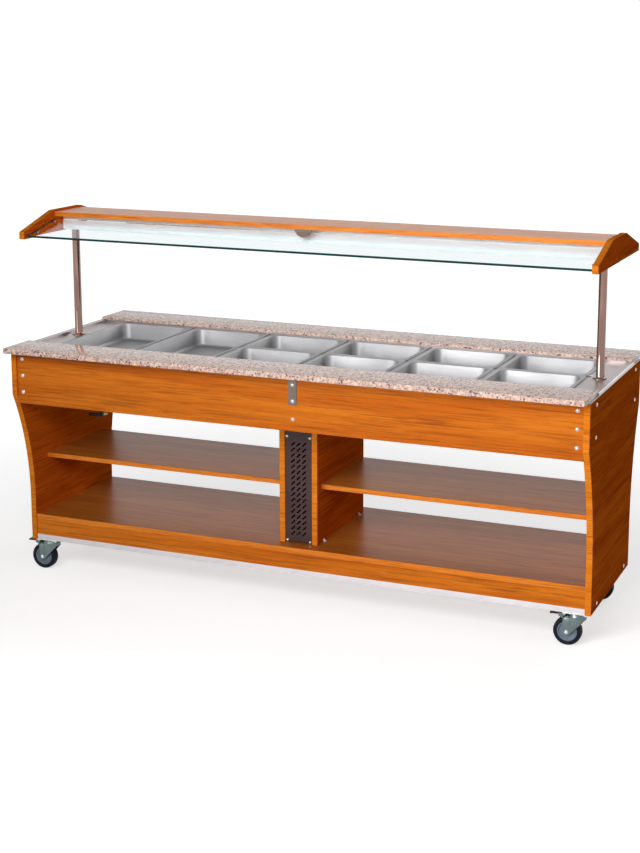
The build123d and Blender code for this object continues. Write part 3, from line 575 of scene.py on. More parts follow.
@group_tree("brushed lines", ("Bright", "Dull", "Base Roughness"), ("Colour", "Roughness", "Height"))
def brushed_lines(bench: Bench, given: Sockets) -> Sockets:
    """Fine brushing along X with slow changes of tone."""
    lines = bench.noise(bench.stretch(given["Vector"], (14, 1500, 1500)), 1, 4, 0.7)
    tone = bench.noise(given["Vector"], 5, 3, 0.6)
    share = bench.sum("ADD", bench.reach(lines, 0.3, 0.7, 0, 0.6), bench.reach(tone, 0.35, 0.65, 0, 0.4))
    return {
        "Colour": bench.blend(share, given["Bright"], given["Dull"]),
        "Roughness": bench.sum("ADD", given["Base Roughness"], bench.reach(share, 0, 1, -0.05, 0.09)),
        "Height": lines,
    }


@group_tree("handled surface", ("Clean", "Worn", "Grain Scale", "Base Roughness"), ("Colour", "Roughness", "Height"))
def handled_surface(bench: Bench, given: Sockets) -> Sockets:
    """Slow smudges and a fine skin for paint, plastic, rubber and plating."""
    smudge = bench.noise(given["Vector"], 11, 4, 0.6, 0.5)
    return {
        "Colour": bench.blend(bench.reach(smudge, 0.42, 0.72), given["Clean"], given["Worn"]),
        "Roughness": bench.sum("ADD", given["Base Roughness"], bench.reach(smudge, 0.3, 0.7, -0.05, 0.07)),
        "Height": bench.noise(given["Vector"], given["Grain Scale"], 3),
    }


def wood(bench: Bench, vector: NodeSocket, tones: Tones) -> Node:
    """Places the wood figure in its light, middle and dark tone."""
    return bench.group(wood_figure(), Vector=vector, Light=tones[0], Middle=tones[1], Dark=tones[2])


# Finishes


@dataclass(frozen=True)
class Finish:
    """A finish that a piece can wear, tied to one of the record's material slots."""

    name: str
    slot: str

    def material(self) -> Material:
        """Returns the finish's material, which is made the first time."""
        found = bpy.data.materials.get(self.name)
        if found:
            return found
        made = bpy.data.materials.new(self.name)
        made.use_nodes = True
        bench = Bench(made.node_tree)
        shader = bench.add("ShaderNodeBsdfPrincipled")
        bench.give(bench.add("ShaderNodeOutputMaterial"), Surface=shader.outputs["BSDF"])
        self.mix(bench, shader, bench.add("ShaderNodeTexCoord").outputs["Object"])
        return made

    def mix(self, bench: Bench, shader: Node, here: NodeSocket) -> None:
        """Feeds the shader; each finish has its own way.

        Args:
            bench: the bench of this material's nodes.
            shader: the surface shader.
            here: the coordinates of the piece's own space.
        """

    def wear(self, piece: Object) -> None:
        """Puts this finish on all of a piece."""
        piece.data.materials.clear()
        piece.data.materials.append(self.material())


@dataclass(frozen=True)
class WoodLaminate(Finish):
    """Satin wood laminate with a lighter edge band; its tones are light, middle and dark."""

    grain: Grain = Grain.LENGTHWISE
    face: Face = Face.ALONG_Y
    tones: Tones = ((0.72, 0.205, 0.013), (0.57, 0.128, 0.005), (0.19, 0.031, 0.0025))
    band: Tones = ((0.84, 0.265, 0.022), (0.74, 0.200, 0.013), (0.36, 0.068, 0.004))
    gloss: float = 0.10

    def mix(self, bench: Bench, shader: Node, here: NodeSocket) -> None:
        """Lays the figure along the grain and the band's figure on the board's edges."""
        board = wood(bench, bench.stretch(here, (1, 1, 1), self.grain.value), self.tones)
        band = wood(bench, bench.stretch(here, (1.7, 1.1, 1.1)), self.band)
        split = bench.give(bench.add("ShaderNodeSeparateXYZ"), Vector=here.node.outputs["Normal"])
        on_face = bench.reach(bench.sum("ABSOLUTE", split.outputs[self.face.value], 0), 0.45, 0.55)
        bench.give(
            shader,
            Base_Color=bench.blend(on_face, band.outputs["Colour"], board.outputs["Colour"]),
            Roughness=board.outputs["Roughness"],
            Normal=bench.bump(board.outputs["Height"], 0.25, 0.10 * MM),
            Specular_IOR_Level=self.gloss,
        )


@dataclass(frozen=True)
class RawTimber(Finish):
    """Plain hardwood of the blocks under the deck."""

    tones: Tones = ((0.55, 0.36, 0.19), (0.44, 0.27, 0.13), (0.25, 0.13, 0.06))

    def mix(self, bench: Bench, shader: Node, here: NodeSocket) -> None:
        """Lays a dry wood figure with no coat."""
        board = wood(bench, here, self.tones)
        bench.give(
            shader,
            Base_Color=board.outputs["Colour"],
            Normal=bench.bump(board.outputs["Height"], 0.5, 0.3 * MM),
            Roughness=bench.sum("ADD", board.outputs["Roughness"], 0.35),
        )


@dataclass(frozen=True)
class PolishedStone(Finish):
    """Polished speckled granite."""

    cream: RGB = (0.87, 0.65, 0.51)
    rose: RGB = (0.73, 0.49, 0.41)
    mauve: RGB = (0.43, 0.285, 0.285)
    black: RGB = (0.07, 0.045, 0.05)
    gloss: float = 0.14

    def mix(self, bench: Bench, shader: Node, here: NodeSocket) -> None:
        """Lays the grains under a polish."""
        grains = bench.group(
            stone_speckle(), Vector=here, Cream=self.cream, Rose=self.rose, Mauve=self.mauve, Black=self.black
        )
        bench.give(
            shader,
            Base_Color=grains.outputs["Colour"],
            Roughness=bench.reach(grains.outputs["Height"], 0, 2, 0.12, 0.22),
            Normal=bench.bump(grains.outputs["Height"], 0.08, 0.05 * MM),
            Specular_IOR_Level=self.gloss,
        )


@dataclass(frozen=True)
class Metal(Finish):
    """Bare or plated metal with brushing along one direction."""

    bright: RGB = (0.74, 0.75, 0.76)
    dull: RGB = (0.60, 0.60, 0.62)
    roughness: float = 0.26
    bump: float = 0.10
    grain: Grain = Grain.LENGTHWISE

    def mix(self, bench: Bench, shader: Node, here: NodeSocket) -> None:
        """Brushes the metal."""
        spread = bench.stretch(here, (1, 1, 1), self.grain.value)
        lines = bench.group(
            brushed_lines(), Vector=spread, Bright=self.bright, Dull=self.dull, Base_Roughness=self.roughness
        )
        bench.give(
            shader,
            Base_Color=lines.outputs["Colour"],
            Roughness=lines.outputs["Roughness"],
            Metallic=1.0,
            Normal=bench.bump(lines.outputs["Height"], self.bump, 0.02 * MM),
        )


@dataclass(frozen=True)
class Skin(Finish):
    """Paint, plastic, rubber, ceramic or wool: a plain colour with smudges and a fine skin."""

    clean: RGB = (0.8, 0.8, 0.8)
    worn: RGB = (0.7, 0.7, 0.7)
    grain_scale: float = 900.0
    roughness: float = 0.4
    bump: float = 0.15
    relief: float = 0.05 * MM
    gloss: float = 0.5

    def mix(self, bench: Bench, shader: Node, here: NodeSocket) -> None:
        """Lays the colour, its wear and its skin."""
        surface = bench.group(
            handled_surface(),
            Vector=here,
            Clean=self.clean,
            Worn=self.worn,
            Grain_Scale=self.grain_scale,
            Base_Roughness=self.roughness,
        )
        bench.give(
            shader,
            Base_Color=surface.outputs["Colour"],
            Roughness=surface.outputs["Roughness"],
            Specular_IOR_Level=self.gloss,
            Normal=bench.bump(surface.outputs["Height"], self.bump, self.relief),
        )


@dataclass(frozen=True)
class ClearGlass(Finish):
    """Clear glass that lets the lamps through."""

    tint: RGB = (0.80, 0.85, 0.865)
    index: float = 1.22

    def mix(self, bench: Bench, shader: Node, here: NodeSocket) -> None:
        """Makes the glass clear with faint smudges, and takes its shadow away."""
        surface = bench.group(
            handled_surface(), Vector=here, Clean=self.tint, Worn=self.tint, Grain_Scale=300.0, Base_Roughness=0.05
        )
        bench.give(
            shader,
            Base_Color=self.tint,
            Roughness=bench.reach(surface.outputs["Roughness"], 0.04, 0.12, 0.0, 0.012),
            IOR=self.index,
            Transmission_Weight=1.0,
        )
        both = bench.add("ShaderNodeMixShader")
        through = bench.add("ShaderNodeBsdfTransparent")
        parts = (bench.seen("Is Shadow Ray"), shader.outputs["BSDF"], through.outputs["BSDF"])
        for socket, value in zip(both.inputs, parts):
            bench.feed(socket, value)
        output = next(node for node in bench.tree.nodes if node.type == "OUTPUT_MATERIAL")
        bench.give(output, Surface=both.outputs["Shader"])


WOOD_FRONT = WoodLaminate("wood laminate lengthwise", "wood", Grain.LENGTHWISE, Face.ALONG_Y)
# A darker copy of the laminate for the deck and the upper shelves: painted shade, where they lie under the aprons and
# shelves.
FLAT_PAINTED_SHADE_TONES: Tones = ((0.50, 0.168, 0.022), (0.39, 0.110, 0.012), (0.15, 0.030, 0.006))
WOOD_FLAT_PAINTED_SHADE = WoodLaminate("wood laminate flat", "wood", Grain.LENGTHWISE, Face.ALONG_Z, FLAT_PAINTED_SHADE_TONES, gloss=0.21)
# A lighter, pinker copy of the laminate for the canopy's top board: painted light and painted sheen on its upward face.
TOP_PAINTED_LIGHT_TONES: Tones = ((0.95, 0.40, 0.17), (0.84, 0.31, 0.12), (0.48, 0.15, 0.05))
WOOD_TOP_PAINTED_LIGHT = WoodLaminate("wood laminate canopy top", "wood", Grain.LENGTHWISE, Face.ALONG_Z, TOP_PAINTED_LIGHT_TONES, gloss=0.22)
# A slightly darker, redder copy of the laminate for the side panels and column boards: partly their own reddish tone,
# partly painted shade on faces turned away from the key lamp.
SIDE_TONES_WITH_PAINTED_SHADE: Tones = ((0.70, 0.145, 0.010), (0.55, 0.095, 0.005), (0.19, 0.026, 0.003))
WOOD_SIDE_WITH_PAINTED_SHADE = WoodLaminate("wood laminate side", "wood", Grain.FRONT_TO_BACK, Face.ALONG_X, SIDE_TONES_WITH_PAINTED_SHADE, gloss=0.0)
# A brighter copy of the laminate for the canopy's ends: painted light on inner faces that the key lamp barely reaches.
END_PAINTED_LIGHT_TONES: Tones = ((0.80, 0.150, 0.010), (0.64, 0.095, 0.005), (0.24, 0.028, 0.003))
WOOD_END_PAINTED_LIGHT = WoodLaminate("wood laminate canopy end", "wood", Grain.FRONT_TO_BACK, Face.ALONG_X, END_PAINTED_LIGHT_TONES, gloss=0.0)
TIMBER = RawTimber("hardwood", "hardwood_blocks")
PALE_STRIP = Skin("pale plinth", "plinth_white", (0.84, 0.79, 0.82), (0.76, 0.72, 0.75), 700, 0.40, gloss=0.2)
STONE = PolishedStone("polished granite", "stone")
UPRIGHT, FRONT_TO_BACK = Grain.UPRIGHT, Grain.FRONT_TO_BACK
STEEL = Metal("satin steel", "stainless", (0.43, 0.39, 0.385), (0.32, 0.29, 0.29), 0.34)
STEEL_DEEP = Metal("satin steel across", "stainless", (0.56, 0.54, 0.55), (0.43, 0.41, 0.42), grain=FRONT_TO_BACK)
STRAP_STEEL = Metal("grey steel strap", "stainless", (0.15, 0.128, 0.11), (0.108, 0.092, 0.08), 0.42, 0.2, UPRIGHT)
# The dark brownish grey of the clip plates is a painted reflection of the wood and shade round them.
CLIP_STEEL_PAINTED_REFLECTION = Metal("grey clip plate", "stainless", (0.16, 0.135, 0.12), (0.11, 0.095, 0.085), 0.50, 0.2)
PAN_STEEL = Metal("drawn pan steel", "stainless", (0.37, 0.365, 0.37), (0.28, 0.28, 0.29), 0.50, 0.06)
# The polished tube's dark pinkish-brown colour is a painted reflection of the wood and the dim surroundings it mirrors.
MIRROR_PAINTED_REFLECTION = Metal("mirror tube", "mirror_tube", (0.29, 0.180, 0.150), (0.23, 0.138, 0.116), 0.05, 0.02, UPRIGHT)
SCREW_STEEL = Metal("bright screws", "bright_steel", (0.62, 0.60, 0.57), (0.48, 0.46, 0.44), 0.22, 0.05)
ZINC = Metal("zinc plate", "zinc", (0.19, 0.24, 0.245), (0.105, 0.14, 0.145), 0.28, 0.12, UPRIGHT)
ZINC_BRIGHT = Metal("bright zinc", "zinc", (0.74, 0.76, 0.76), (0.60, 0.63, 0.63), 0.20, 0.06)
ELEMENT = Metal("element sheath", "element_metal", (0.34, 0.32, 0.30), (0.22, 0.20, 0.19), 0.5, 0.3)
BRASS = Metal("valve brass", "brass", (0.66, 0.50, 0.24), (0.50, 0.35, 0.15), 0.36, 0.15)
HOUSING = Skin("housing enamel", "housing_white", (0.80, 0.87, 0.90), (0.76, 0.83, 0.87), 500, 0.35, 0.08, gloss=0.3)
COVER = Skin("cover powder paint", "cover_dark", (0.056, 0.031, 0.03), (0.044, 0.024, 0.024), 1400, 0.5, 0.3, gloss=0.2)
WHITE_CLIP = Skin("white clip", "fittings_white", (0.92, 0.91, 0.89), (0.84, 0.83, 0.81), 600, 0.45, 0.2)
WOOL = Skin("mineral wool", "mineral_wool", (0.72, 0.66, 0.48), (0.58, 0.52, 0.36), 260, 0.95, 0.9, 1.5 * MM)
CERAMIC = Skin("ceramic", "ceramic", (0.85, 0.83, 0.78), (0.78, 0.75, 0.69), 700, 0.35, 0.15)
BLACK = Skin("black plastic", "black_plastic", (0.014, 0.014, 0.016), (0.024, 0.024, 0.025), 1200, 0.45, 0.3, gloss=0.3)
HUB = Skin("hub nylon", "hub_grey", (0.155, 0.19, 0.245), (0.12, 0.15, 0.195), 800, 0.42, 0.15, gloss=0.25)
RUBBER = Skin("tyre rubber", "tyre", (0.0075, 0.0095, 0.013), (0.014, 0.016, 0.018), 700, 0.6, 0.4, 0.1 * MM, 0.12)
GLASS = ClearGlass("clear glass", "clear_glass")
EDGE_TONES = {"clean": (0.004, 0.042, 0.044), "worn": (0.002, 0.026, 0.030)}
GLASS_EDGE = Skin("green glass edge", "clear_glass", **EDGE_TONES, grain_scale=200, roughness=0.5, bump=0.05, gloss=0.1)
QUARTZ = ClearGlass("lamp quartz", "lamp_quartz", (0.96, 0.95, 0.92), 1.4)
COIL = Metal("lamp coil", "lamp_quartz", (0.45, 0.40, 0.36), (0.30, 0.26, 0.23), 0.5, 0.1)


def fit(piece: Object, name: str, body: str, finish: Finish, stands_for: Sequence[str] = ()) -> Object:
    """Names a piece, dresses it and lets it ride on its body.

    Args:
        piece: the finished mesh.
        name: the piece's name.
        body: the frame body that carries it.
        finish: the finish it wears, unless it already wears several.
        stands_for: the frame nodes that it replaces.

    Returns:
        The same piece.
    """
    piece.name = piece.data.name = name
    if not piece.data.materials or piece.data.materials[0] is None:
        finish.wear(piece)
    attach(piece, body)
    if stands_for:
        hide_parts(*stands_for)
    log.info("%s rides on %s, %d faces", name, body, len(piece.data.polygons))
    return piece


# Sub-assemblies


@dataclass
class Cabinet:
    """Boards, steel top and everything in the frame that only needs its finish."""

    # The wood laminate comes in lit and shaded copies: painted shade on the deck, shelves, side panels and column
    # boards, and painted light on the canopy's top and ends.
    looks: tuple[tuple[Finish, str], ...] = (
        (WOOD_SIDE_WITH_PAINTED_SHADE, "side_panels column_boards"),
        (WOOD_FRONT, "front_apron rear_apron deck_fascias"),
        (WOOD_FLAT_PAINTED_SHADE, "deck_board upper_shelves"),
        (WOOD_TOP_PAINTED_LIGHT, "hood_top_board"),
        (WOOD_END_PAINTED_LIGHT, "hood_ends"),
        (TIMBER, "caster_blocks"),
        (PALE_STRIP, "plinth_strips"),
        (COVER, "column_covers"),
        (STEEL, "well_tub bottom_cover control_panel well_top_plate"),
        (CLIP_STEEL_PAINTED_REFLECTION, "glass_clips"),
        (STEEL_DEEP, "pan_cross_bars"),
        (STRAP_STEEL, "apron_joint_strap"),
        (ELEMENT, "heating_elements"),
        (WOOL, "tub_insulation"),
        (CERAMIC, "lamp_holders"),
        (BRASS, "drain_valve"),
        (BLACK, "drain_lever cable_gland power_rocker lamp_rocker"),
    )

    def build(self) -> None:
        """Dresses the frame's own boards and sheets."""
        for finish, nodes in self.looks:
            for node in nodes.split():
                finish.wear(frame["nodes"][node])
                log.info("%s wears %s", node, finish.name)


@dataclass
class ShelfFittings:
    """White corner clips on the deck by the column, and turned pins under the upper shelves."""

    clip: float = 10 * MM
    wall: float = 2 * MM
    least_clip: float = 15 * MM

    def corner_clip(self, side: int) -> Object:
        """Moulds a corner clip: a foot, a back and a web between them, about its corner.

        Args:
            side: 1 for a clip that reaches to the right of its corner and -1 to the left.

        Returns:
            The clip.
        """
        half = self.clip / 2
        foot = block((self.clip, self.clip, self.wall), (side * half, 0, self.wall / 2))
        back = block((self.wall, self.clip, self.clip), (side * self.wall / 2, 0, half))
        web = block((self.clip, self.wall, self.clip), (side * half, 0, half))
        cut(web, (side * self.clip, 0, self.wall), (side, 0, 1))
        for part in (foot, back, web):
            round_edges(part, 0.5 * MM, 2)
        return smooth(joined([foot, back, web]))

    def pin(self, radius: float, length: float) -> Object:
        """Turns a shelf pin with eased ends, from the origin up."""
        ease = 0.8 * MM
        return turned([(radius * 0.8, 0), (radius, ease), (radius, length - ease), (radius * 0.8, length)], 20)

    def build(self) -> None:
        """Puts a clip or a pin where the frame has one."""
        clips = {side: self.corner_clip(side) for side in (-1, 1)}
        boxes = solids("shelf_fittings")
        middle_x = sum(low.x + high.x for low, high in boxes) / (2 * len(boxes))
        pieces = []
        for low, high in boxes:
            size, centre = high - low, (low + high) / 2
            if size.y > self.least_clip:
                side = 1 if centre.x > middle_x else -1
                pieces.append(copied(clips[side], (low.x if side > 0 else high.x, centre.y, low.z)))
            else:
                pin = self.pin(size.y / 2, size.x)
                pieces.append(place(pin, (low.x, centre.y, centre.z), Turn.RIGHT.value))
        discard(*clips.values())
        fit(smooth(joined(pieces)), "corner_clips_and_pins", "cabinet", WHITE_CLIP, ["shelf_fittings"])


@dataclass
class PanSet:
    """Drawn steel pans: rolled rim, stacking shoulder and rounded bowl."""

    sheet: float = 1 * MM
    rim: float = 12 * MM
    rim_roll: float = 0.6 * MM
    rim_drop: float = 4.6 * MM
    rim_corner: float = 13.5 * MM
    mouth_corner: float = 34 * MM
    # How far in and how far down each ring of the bowl lies from the mouth, in millimetres
    bowl: tuple[Span, ...] = (
        *((0.9, 0.5), (1.7, 1.9), (2.2, 11.0), (4.0, 14.5), (6.6, 52.0), (8.2, 58.0)),
        *((11.6, 62.6), (17.0, 64.8), (26.0, 65.2)),
    )

    def rounded_plane(self, width: float, length: float, corner: float) -> None:
        """Adds a flat rectangle with rounded corners, as a new piece or inside the piece in edit mode.

        Args:
            width: its size along X.
            length: its size along Y.
            corner: the radius of its corners.
        """
        fresh = bpy.context.mode == "OBJECT"
        bpy.ops.mesh.primitive_plane_add(size=1, location=(0, 0, 0))
        if fresh:
            bpy.ops.object.mode_set(mode="EDIT")
            bpy.ops.mesh.select_all(action="SELECT")
        bpy.ops.transform.resize(value=(width, length, 1), center_override=(0, 0, 0))
        bpy.ops.mesh.bevel(offset=corner, segments=7, affect="VERTICES", profile=0.5)

    def mould(self, width: float, length: float) -> Object:
        """Forms one pan about the origin, with its rim's top at Z = 0.

        Args:
            width: the rim's size along X.
            length: the rim's size along Y.

        Returns:
            The pan.
        """
        clear_selection()
        mouth = (width - 2 * self.rim, length - 2 * self.rim, self.mouth_corner)
        self.rounded_plane(width, length, self.rim_corner)
        self.rounded_plane(*mouth)
        piece = bpy.context.active_object
        bpy.ops.mesh.select_all(action="SELECT")
        bpy.ops.mesh.delete(type="ONLY_FACE")
        bpy.ops.mesh.select_all(action="SELECT")
        bpy.ops.mesh.bridge_edge_loops()
        bpy.ops.object.mode_set(mode="OBJECT")
        with shaping(piece):
            pick_edges(piece, lambda middle, along: self.near_loop(middle, along, *mouth))
            inset, depth = 0.0, 0.0
            for ring_inset, ring_depth in in_mm(*self.bowl):
                size = [(side - 2 * ring_inset) / (side - 2 * inset) for side in mouth[:2]]
                extrude((0, 0, depth - ring_depth), (0, 0, -ring_depth), (*size, 1))
                inset, depth = ring_inset, ring_depth
            bpy.ops.mesh.edge_face_add()
            pick_edges(piece, lambda middle, along: self.near_loop(middle, along, width, length, self.rim_corner))
            for drop in (self.rim_roll, self.rim_drop - self.rim_roll):
                extrude((0, 0, -drop))
        settle(piece)
        if piece.data.polygons[0].normal.z < -ALONG:
            with shaping(piece):
                bpy.ops.mesh.select_all(action="SELECT")
                bpy.ops.mesh.flip_normals()
        modified(piece, "SOLIDIFY", thickness=self.sheet, offset=-1)
        return smooth(soften(piece, 0.4 * MM), 40)

    def near_loop(self, middle: Vector, along: Vector, width: float, length: float, corner: float) -> bool:
        """True for an edge that lies along a rounded rectangle's outline at Z = 0.

        Args:
            middle: the edge's middle.
            along: the edge's direction.
            width: the rectangle's size along X.
            length: its size along Y.
            corner: its corner's radius.

        Returns:
            Whether the edge is part of the outline.
        """
        if abs(middle.z) > HAIR:
            return False
        over_x = abs(middle.x) - (width / 2 - corner)
        over_y = abs(middle.y) - (length / 2 - corner)
        if over_x > 0 and over_y > 0:
            outward = Vector((math.copysign(over_x, middle.x), math.copysign(over_y, middle.y), 0))
            return abs(outward.length - corner) < 0.4 * MM and abs(along.dot(outward.normalized())) < 0.2
        on_side = abs(over_x - corner) < HAIR and abs(along.y) > ALONG
        return on_side or (abs(over_y - corner) < HAIR and abs(along.x) > ALONG)

    def build(self) -> None:
        """Forms a full pan and a half pan and copies them to their places."""
        moulds: dict[int, Object] = {}
        for name in sorted(node for node in frame["nodes"] if node.startswith("pan_") and node != "pan_cross_bars"):
            low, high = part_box(name)
            size, centre = high - low, (low + high) / 2
            key = round(size.y / MM)
            if key not in moulds:
                moulds[key] = self.mould(size.x, size.y)
            fit(copied(moulds[key], (centre.x, centre.y, high.z)), f"{name}_drawn", name, PAN_STEEL, [name])
        discard(*moulds.values())


@dataclass
class TraySlides:
    """Two stone slabs with softly rounded edges."""

    corner: float = 6 * MM
    edge: float = 3 * MM

    def build(self) -> None:
        """Cuts and polishes the two slabs."""
        for word, (low, high) in zip(("front", "rear"), sorted(solids("granite_slabs"), key=lambda box: box[0].y)):
            piece = block(high - low, (low + high) / 2)
            round_edges(piece, self.corner, 5, upright)
            round_edges(piece, self.edge, 4, level)
            fit(smooth(settle(piece), 40), f"tray_slide_{word}", "cabinet", STONE, ["granite_slabs"])


@dataclass
class CanopyPosts:
    """Polished tubes with a turned foot ring and a ring under the canopy."""

    ring_height: float = 4 * MM
    # Rings of the foot and of the head: the radius that each starts from, which is the tube's (0) or the rim's (1), a
    # step from there in millimetres, and its height in ring heights
    foot: tuple[tuple[int, float, float], ...] = (
        *((0, 0, 0), (1, 0, 0), (1, 0, 0.55), (1, -1.6, 1), (0, 2.2, 1.15), (0, 0.8, 1.5), (0, 0, 2.1)),
    )
    head: tuple[tuple[int, float, float], ...] = ((0, 0, -1.6), (0, 1.0, -1.1), (1, -1.2, -0.8), (1, 0, -0.5))

    def build(self) -> None:
        """Turns one post and copies it to the other end."""
        boxes = sorted(solids("canopy_posts"), key=lambda box: box[1].z - box[0].z)
        tubes = sorted(boxes[-2:], key=lambda box: box[0].x)
        rings = sorted(boxes[:-2], key=lambda box: box[0].z)
        radii = [(box[1].x - box[0].x) / 2 for box in (tubes[0], rings[0])]
        foot, head = rings[0][0].z, rings[-1][1].z
        outline = [(radii[0], tubes[0][0].z)]
        outline += [(radii[rim] + step * MM, foot + up * self.ring_height) for rim, step, up in self.foot]
        outline.append((radii[0], (foot + head) / 2))
        outline += [(radii[rim] + step * MM, head + up * self.ring_height) for rim, step, up in self.head]
        outline.append((radii[1], head - 0.2 * MM))
        post = smooth(turned(outline, 64), 40)
        for word, (low, high) in zip(("left", "right"), tubes):
            at = ((low.x + high.x) / 2, (low.y + high.y) / 2, 0)
            fit(copied(post, at), f"canopy_post_{word}", "cabinet", MIRROR_PAINTED_REFLECTION, ["canopy_posts"])
        discard(post)


@dataclass
class Canopy:
    """Lamp housing, lamps and the sloping glass."""

    fold_height: float = 15 * MM
    fold_depth: float = 1.2 * MM
    fold_gap: float = 1.4 * MM
    housing_wall: float = 9 * MM
    housing_roof: float = 4 * MM
    glass_thickness: float = 6 * MM
    glass_slope: float = math.atan2(43, 187)
    glass_arris: float = 0.4 * MM
    shown_thickness: float = 8.4 * MM
    lamp_cap: float = 14 * MM
    lamp_neck: float = 3 * MM
    coil_wire: float = 0.45 * MM
    coil_turns: int = 44

    def housing(self) -> None:
        """Folds the housing: an upper band, a narrow groove and a lower lip round an open trough."""
        low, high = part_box("lamp_housing")
        size, centre = high - low, (low + high) / 2
        split = low.z + self.fold_height
        piece = block((size.x, size.y, high.z - split), (centre.x, centre.y, (high.z + split) / 2))
        narrow = ((size.x - 2 * self.fold_depth) / size.x, (size.y - 2 * self.fold_depth) / size.y, 1)
        wide = (1 / narrow[0], 1 / narrow[1], 1)
        flat = (centre.x, centre.y, split)
        with shaping(piece):
            pick_faces(piece, facing(2, -1))
            for drop, share in ((0, narrow), (self.fold_gap, (1, 1, 1)), (0, wide)):
                extrude((0, 0, -drop), flat, share)
            extrude((0, 0, low.z - split + self.fold_gap))
            bpy.ops.mesh.inset(thickness=self.housing_wall)
            extrude((0, 0, high.z - low.z - self.housing_roof))
        soften(settle(piece), 0.8 * MM)
        fit(smooth(piece, 40), "lamp_housing_folded", "cabinet", HOUSING, ["lamp_housing"])

    def pane(self, low: Vector, high: Vector, side: int, name: str) -> None:
        """Cuts one pane with polished green edges.

        Args:
            low: lowest corner of the pane's box.
            high: its highest corner.
            side: -1 for the front pane and 1 for the rear one.
            name: the piece's name.
        """
        reach = high.y - low.y - self.glass_thickness * math.sin(self.glass_slope)
        piece = block((high.x - low.x, reach / math.cos(self.glass_slope), self.shown_thickness), (0, 0, 0))
        round_edges(piece, self.glass_arris, 2)
        GLASS.wear(piece)
        piece.data.materials.append(GLASS_EDGE.material())
        for polygon in piece.data.polygons:
            on_rim = abs(polygon.normal.z) < 0.95
            polygon.material_index = int(on_rim and polygon.normal.y * side > -0.3)
        place(piece, (low + high) / 2, (-side * self.glass_slope, 0, 0))
        fit(piece, name, "cabinet", GLASS, ["glass_panes"])

    def coil(self, radius: float, half: float) -> Object:
        """Winds the coil of a lamp, upright about the origin.

        Args:
            radius: the radius of the lamp's tube.
            half: half of the lamp's length.

        Returns:
            The coil.
        """
        clear_selection()
        turn = Turn.FRONT.value
        bpy.ops.mesh.primitive_circle_add(vertices=6, radius=self.coil_wire, fill_type="NOTHING", rotation=turn)
        bpy.context.active_object.location = (radius * 0.42, 0, -half + self.lamp_cap)
        coil = fixed()
        pitch = 2 * (half - self.lamp_cap) / self.coil_turns
        steps = {"iterations": self.coil_turns, "steps": 10, "render_steps": 10}
        return smooth(settle(modified(coil, "SCREW", angle=math.tau, screw_offset=pitch, **steps)), 60)

    def lamps(self) -> None:
        """Makes one quartz lamp with its coil and caps, and copies it to each place."""
        boxes = solids("heat_lamps")
        half = (boxes[0][1].x - boxes[0][0].x) / 2
        radius = (boxes[0][1].y - boxes[0][0].y) / 2
        cap, neck = self.lamp_cap, self.lamp_neck
        one_end = [(radius * 0.55, neck - half), (radius * 0.80, neck - half + 2 * MM), (radius, cap - half)]
        tube = smooth(turned([*one_end, *((across, -up) for across, up in reversed(one_end))]))
        shares = ((1, 0), (1, 0.7), (0.9, 0.8), (0.5, 0.8))
        caps = [turned([(radius * across, end * (half - cap * up)) for across, up in shares]) for end in (-1, 1)]
        ends = smooth(joined(caps))
        coil = self.coil(radius, half)
        for index, box in enumerate(boxes, 1):
            at = (box[0] + box[1]) / 2
            for piece, word, finish in ((tube, "tube", QUARTZ), (ends, "caps", CERAMIC), (coil, "coil", COIL)):
                twin = place(copied(piece), at, Turn.RIGHT.value)
                fit(twin, f"lamp_{word}_{index}", "cabinet", finish, ["heat_lamps"] if word == "tube" else [])
        discard(tube, ends, coil)

    def clip_heads(self) -> None:
        """Puts a bright domed head on each glass clip by the canopy's ends."""
        head = smooth(turned(in_mm((5, 0), (5, 1), (4.4, 2.4), (2.8, 3.4), (1.0, 3.8))))
        heads = []
        for low, high in solids("glass_clips"):
            if high.x - low.x < 30 * MM:
                face, turn = (high.x, Turn.RIGHT) if low.x < 0 else (low.x, Turn.LEFT)
                heads.append(place(copied(head), (face, (low.y + high.y) / 2, (low.z + high.z) / 2), turn.value))
        discard(head)
        fit(joined(heads), "glass_clip_heads", "cabinet", SCREW_STEEL)

    def build(self) -> None:
        """Builds the canopy's pieces."""
        self.housing()
        panes = sorted(solids("glass_panes"), key=lambda box: box[0].y)
        for side, word, (low, high) in zip((-1, 1), ("front", "rear"), panes):
            self.pane(low, high, side, f"glass_pane_{word}")
        self.lamps()
        self.clip_heads()


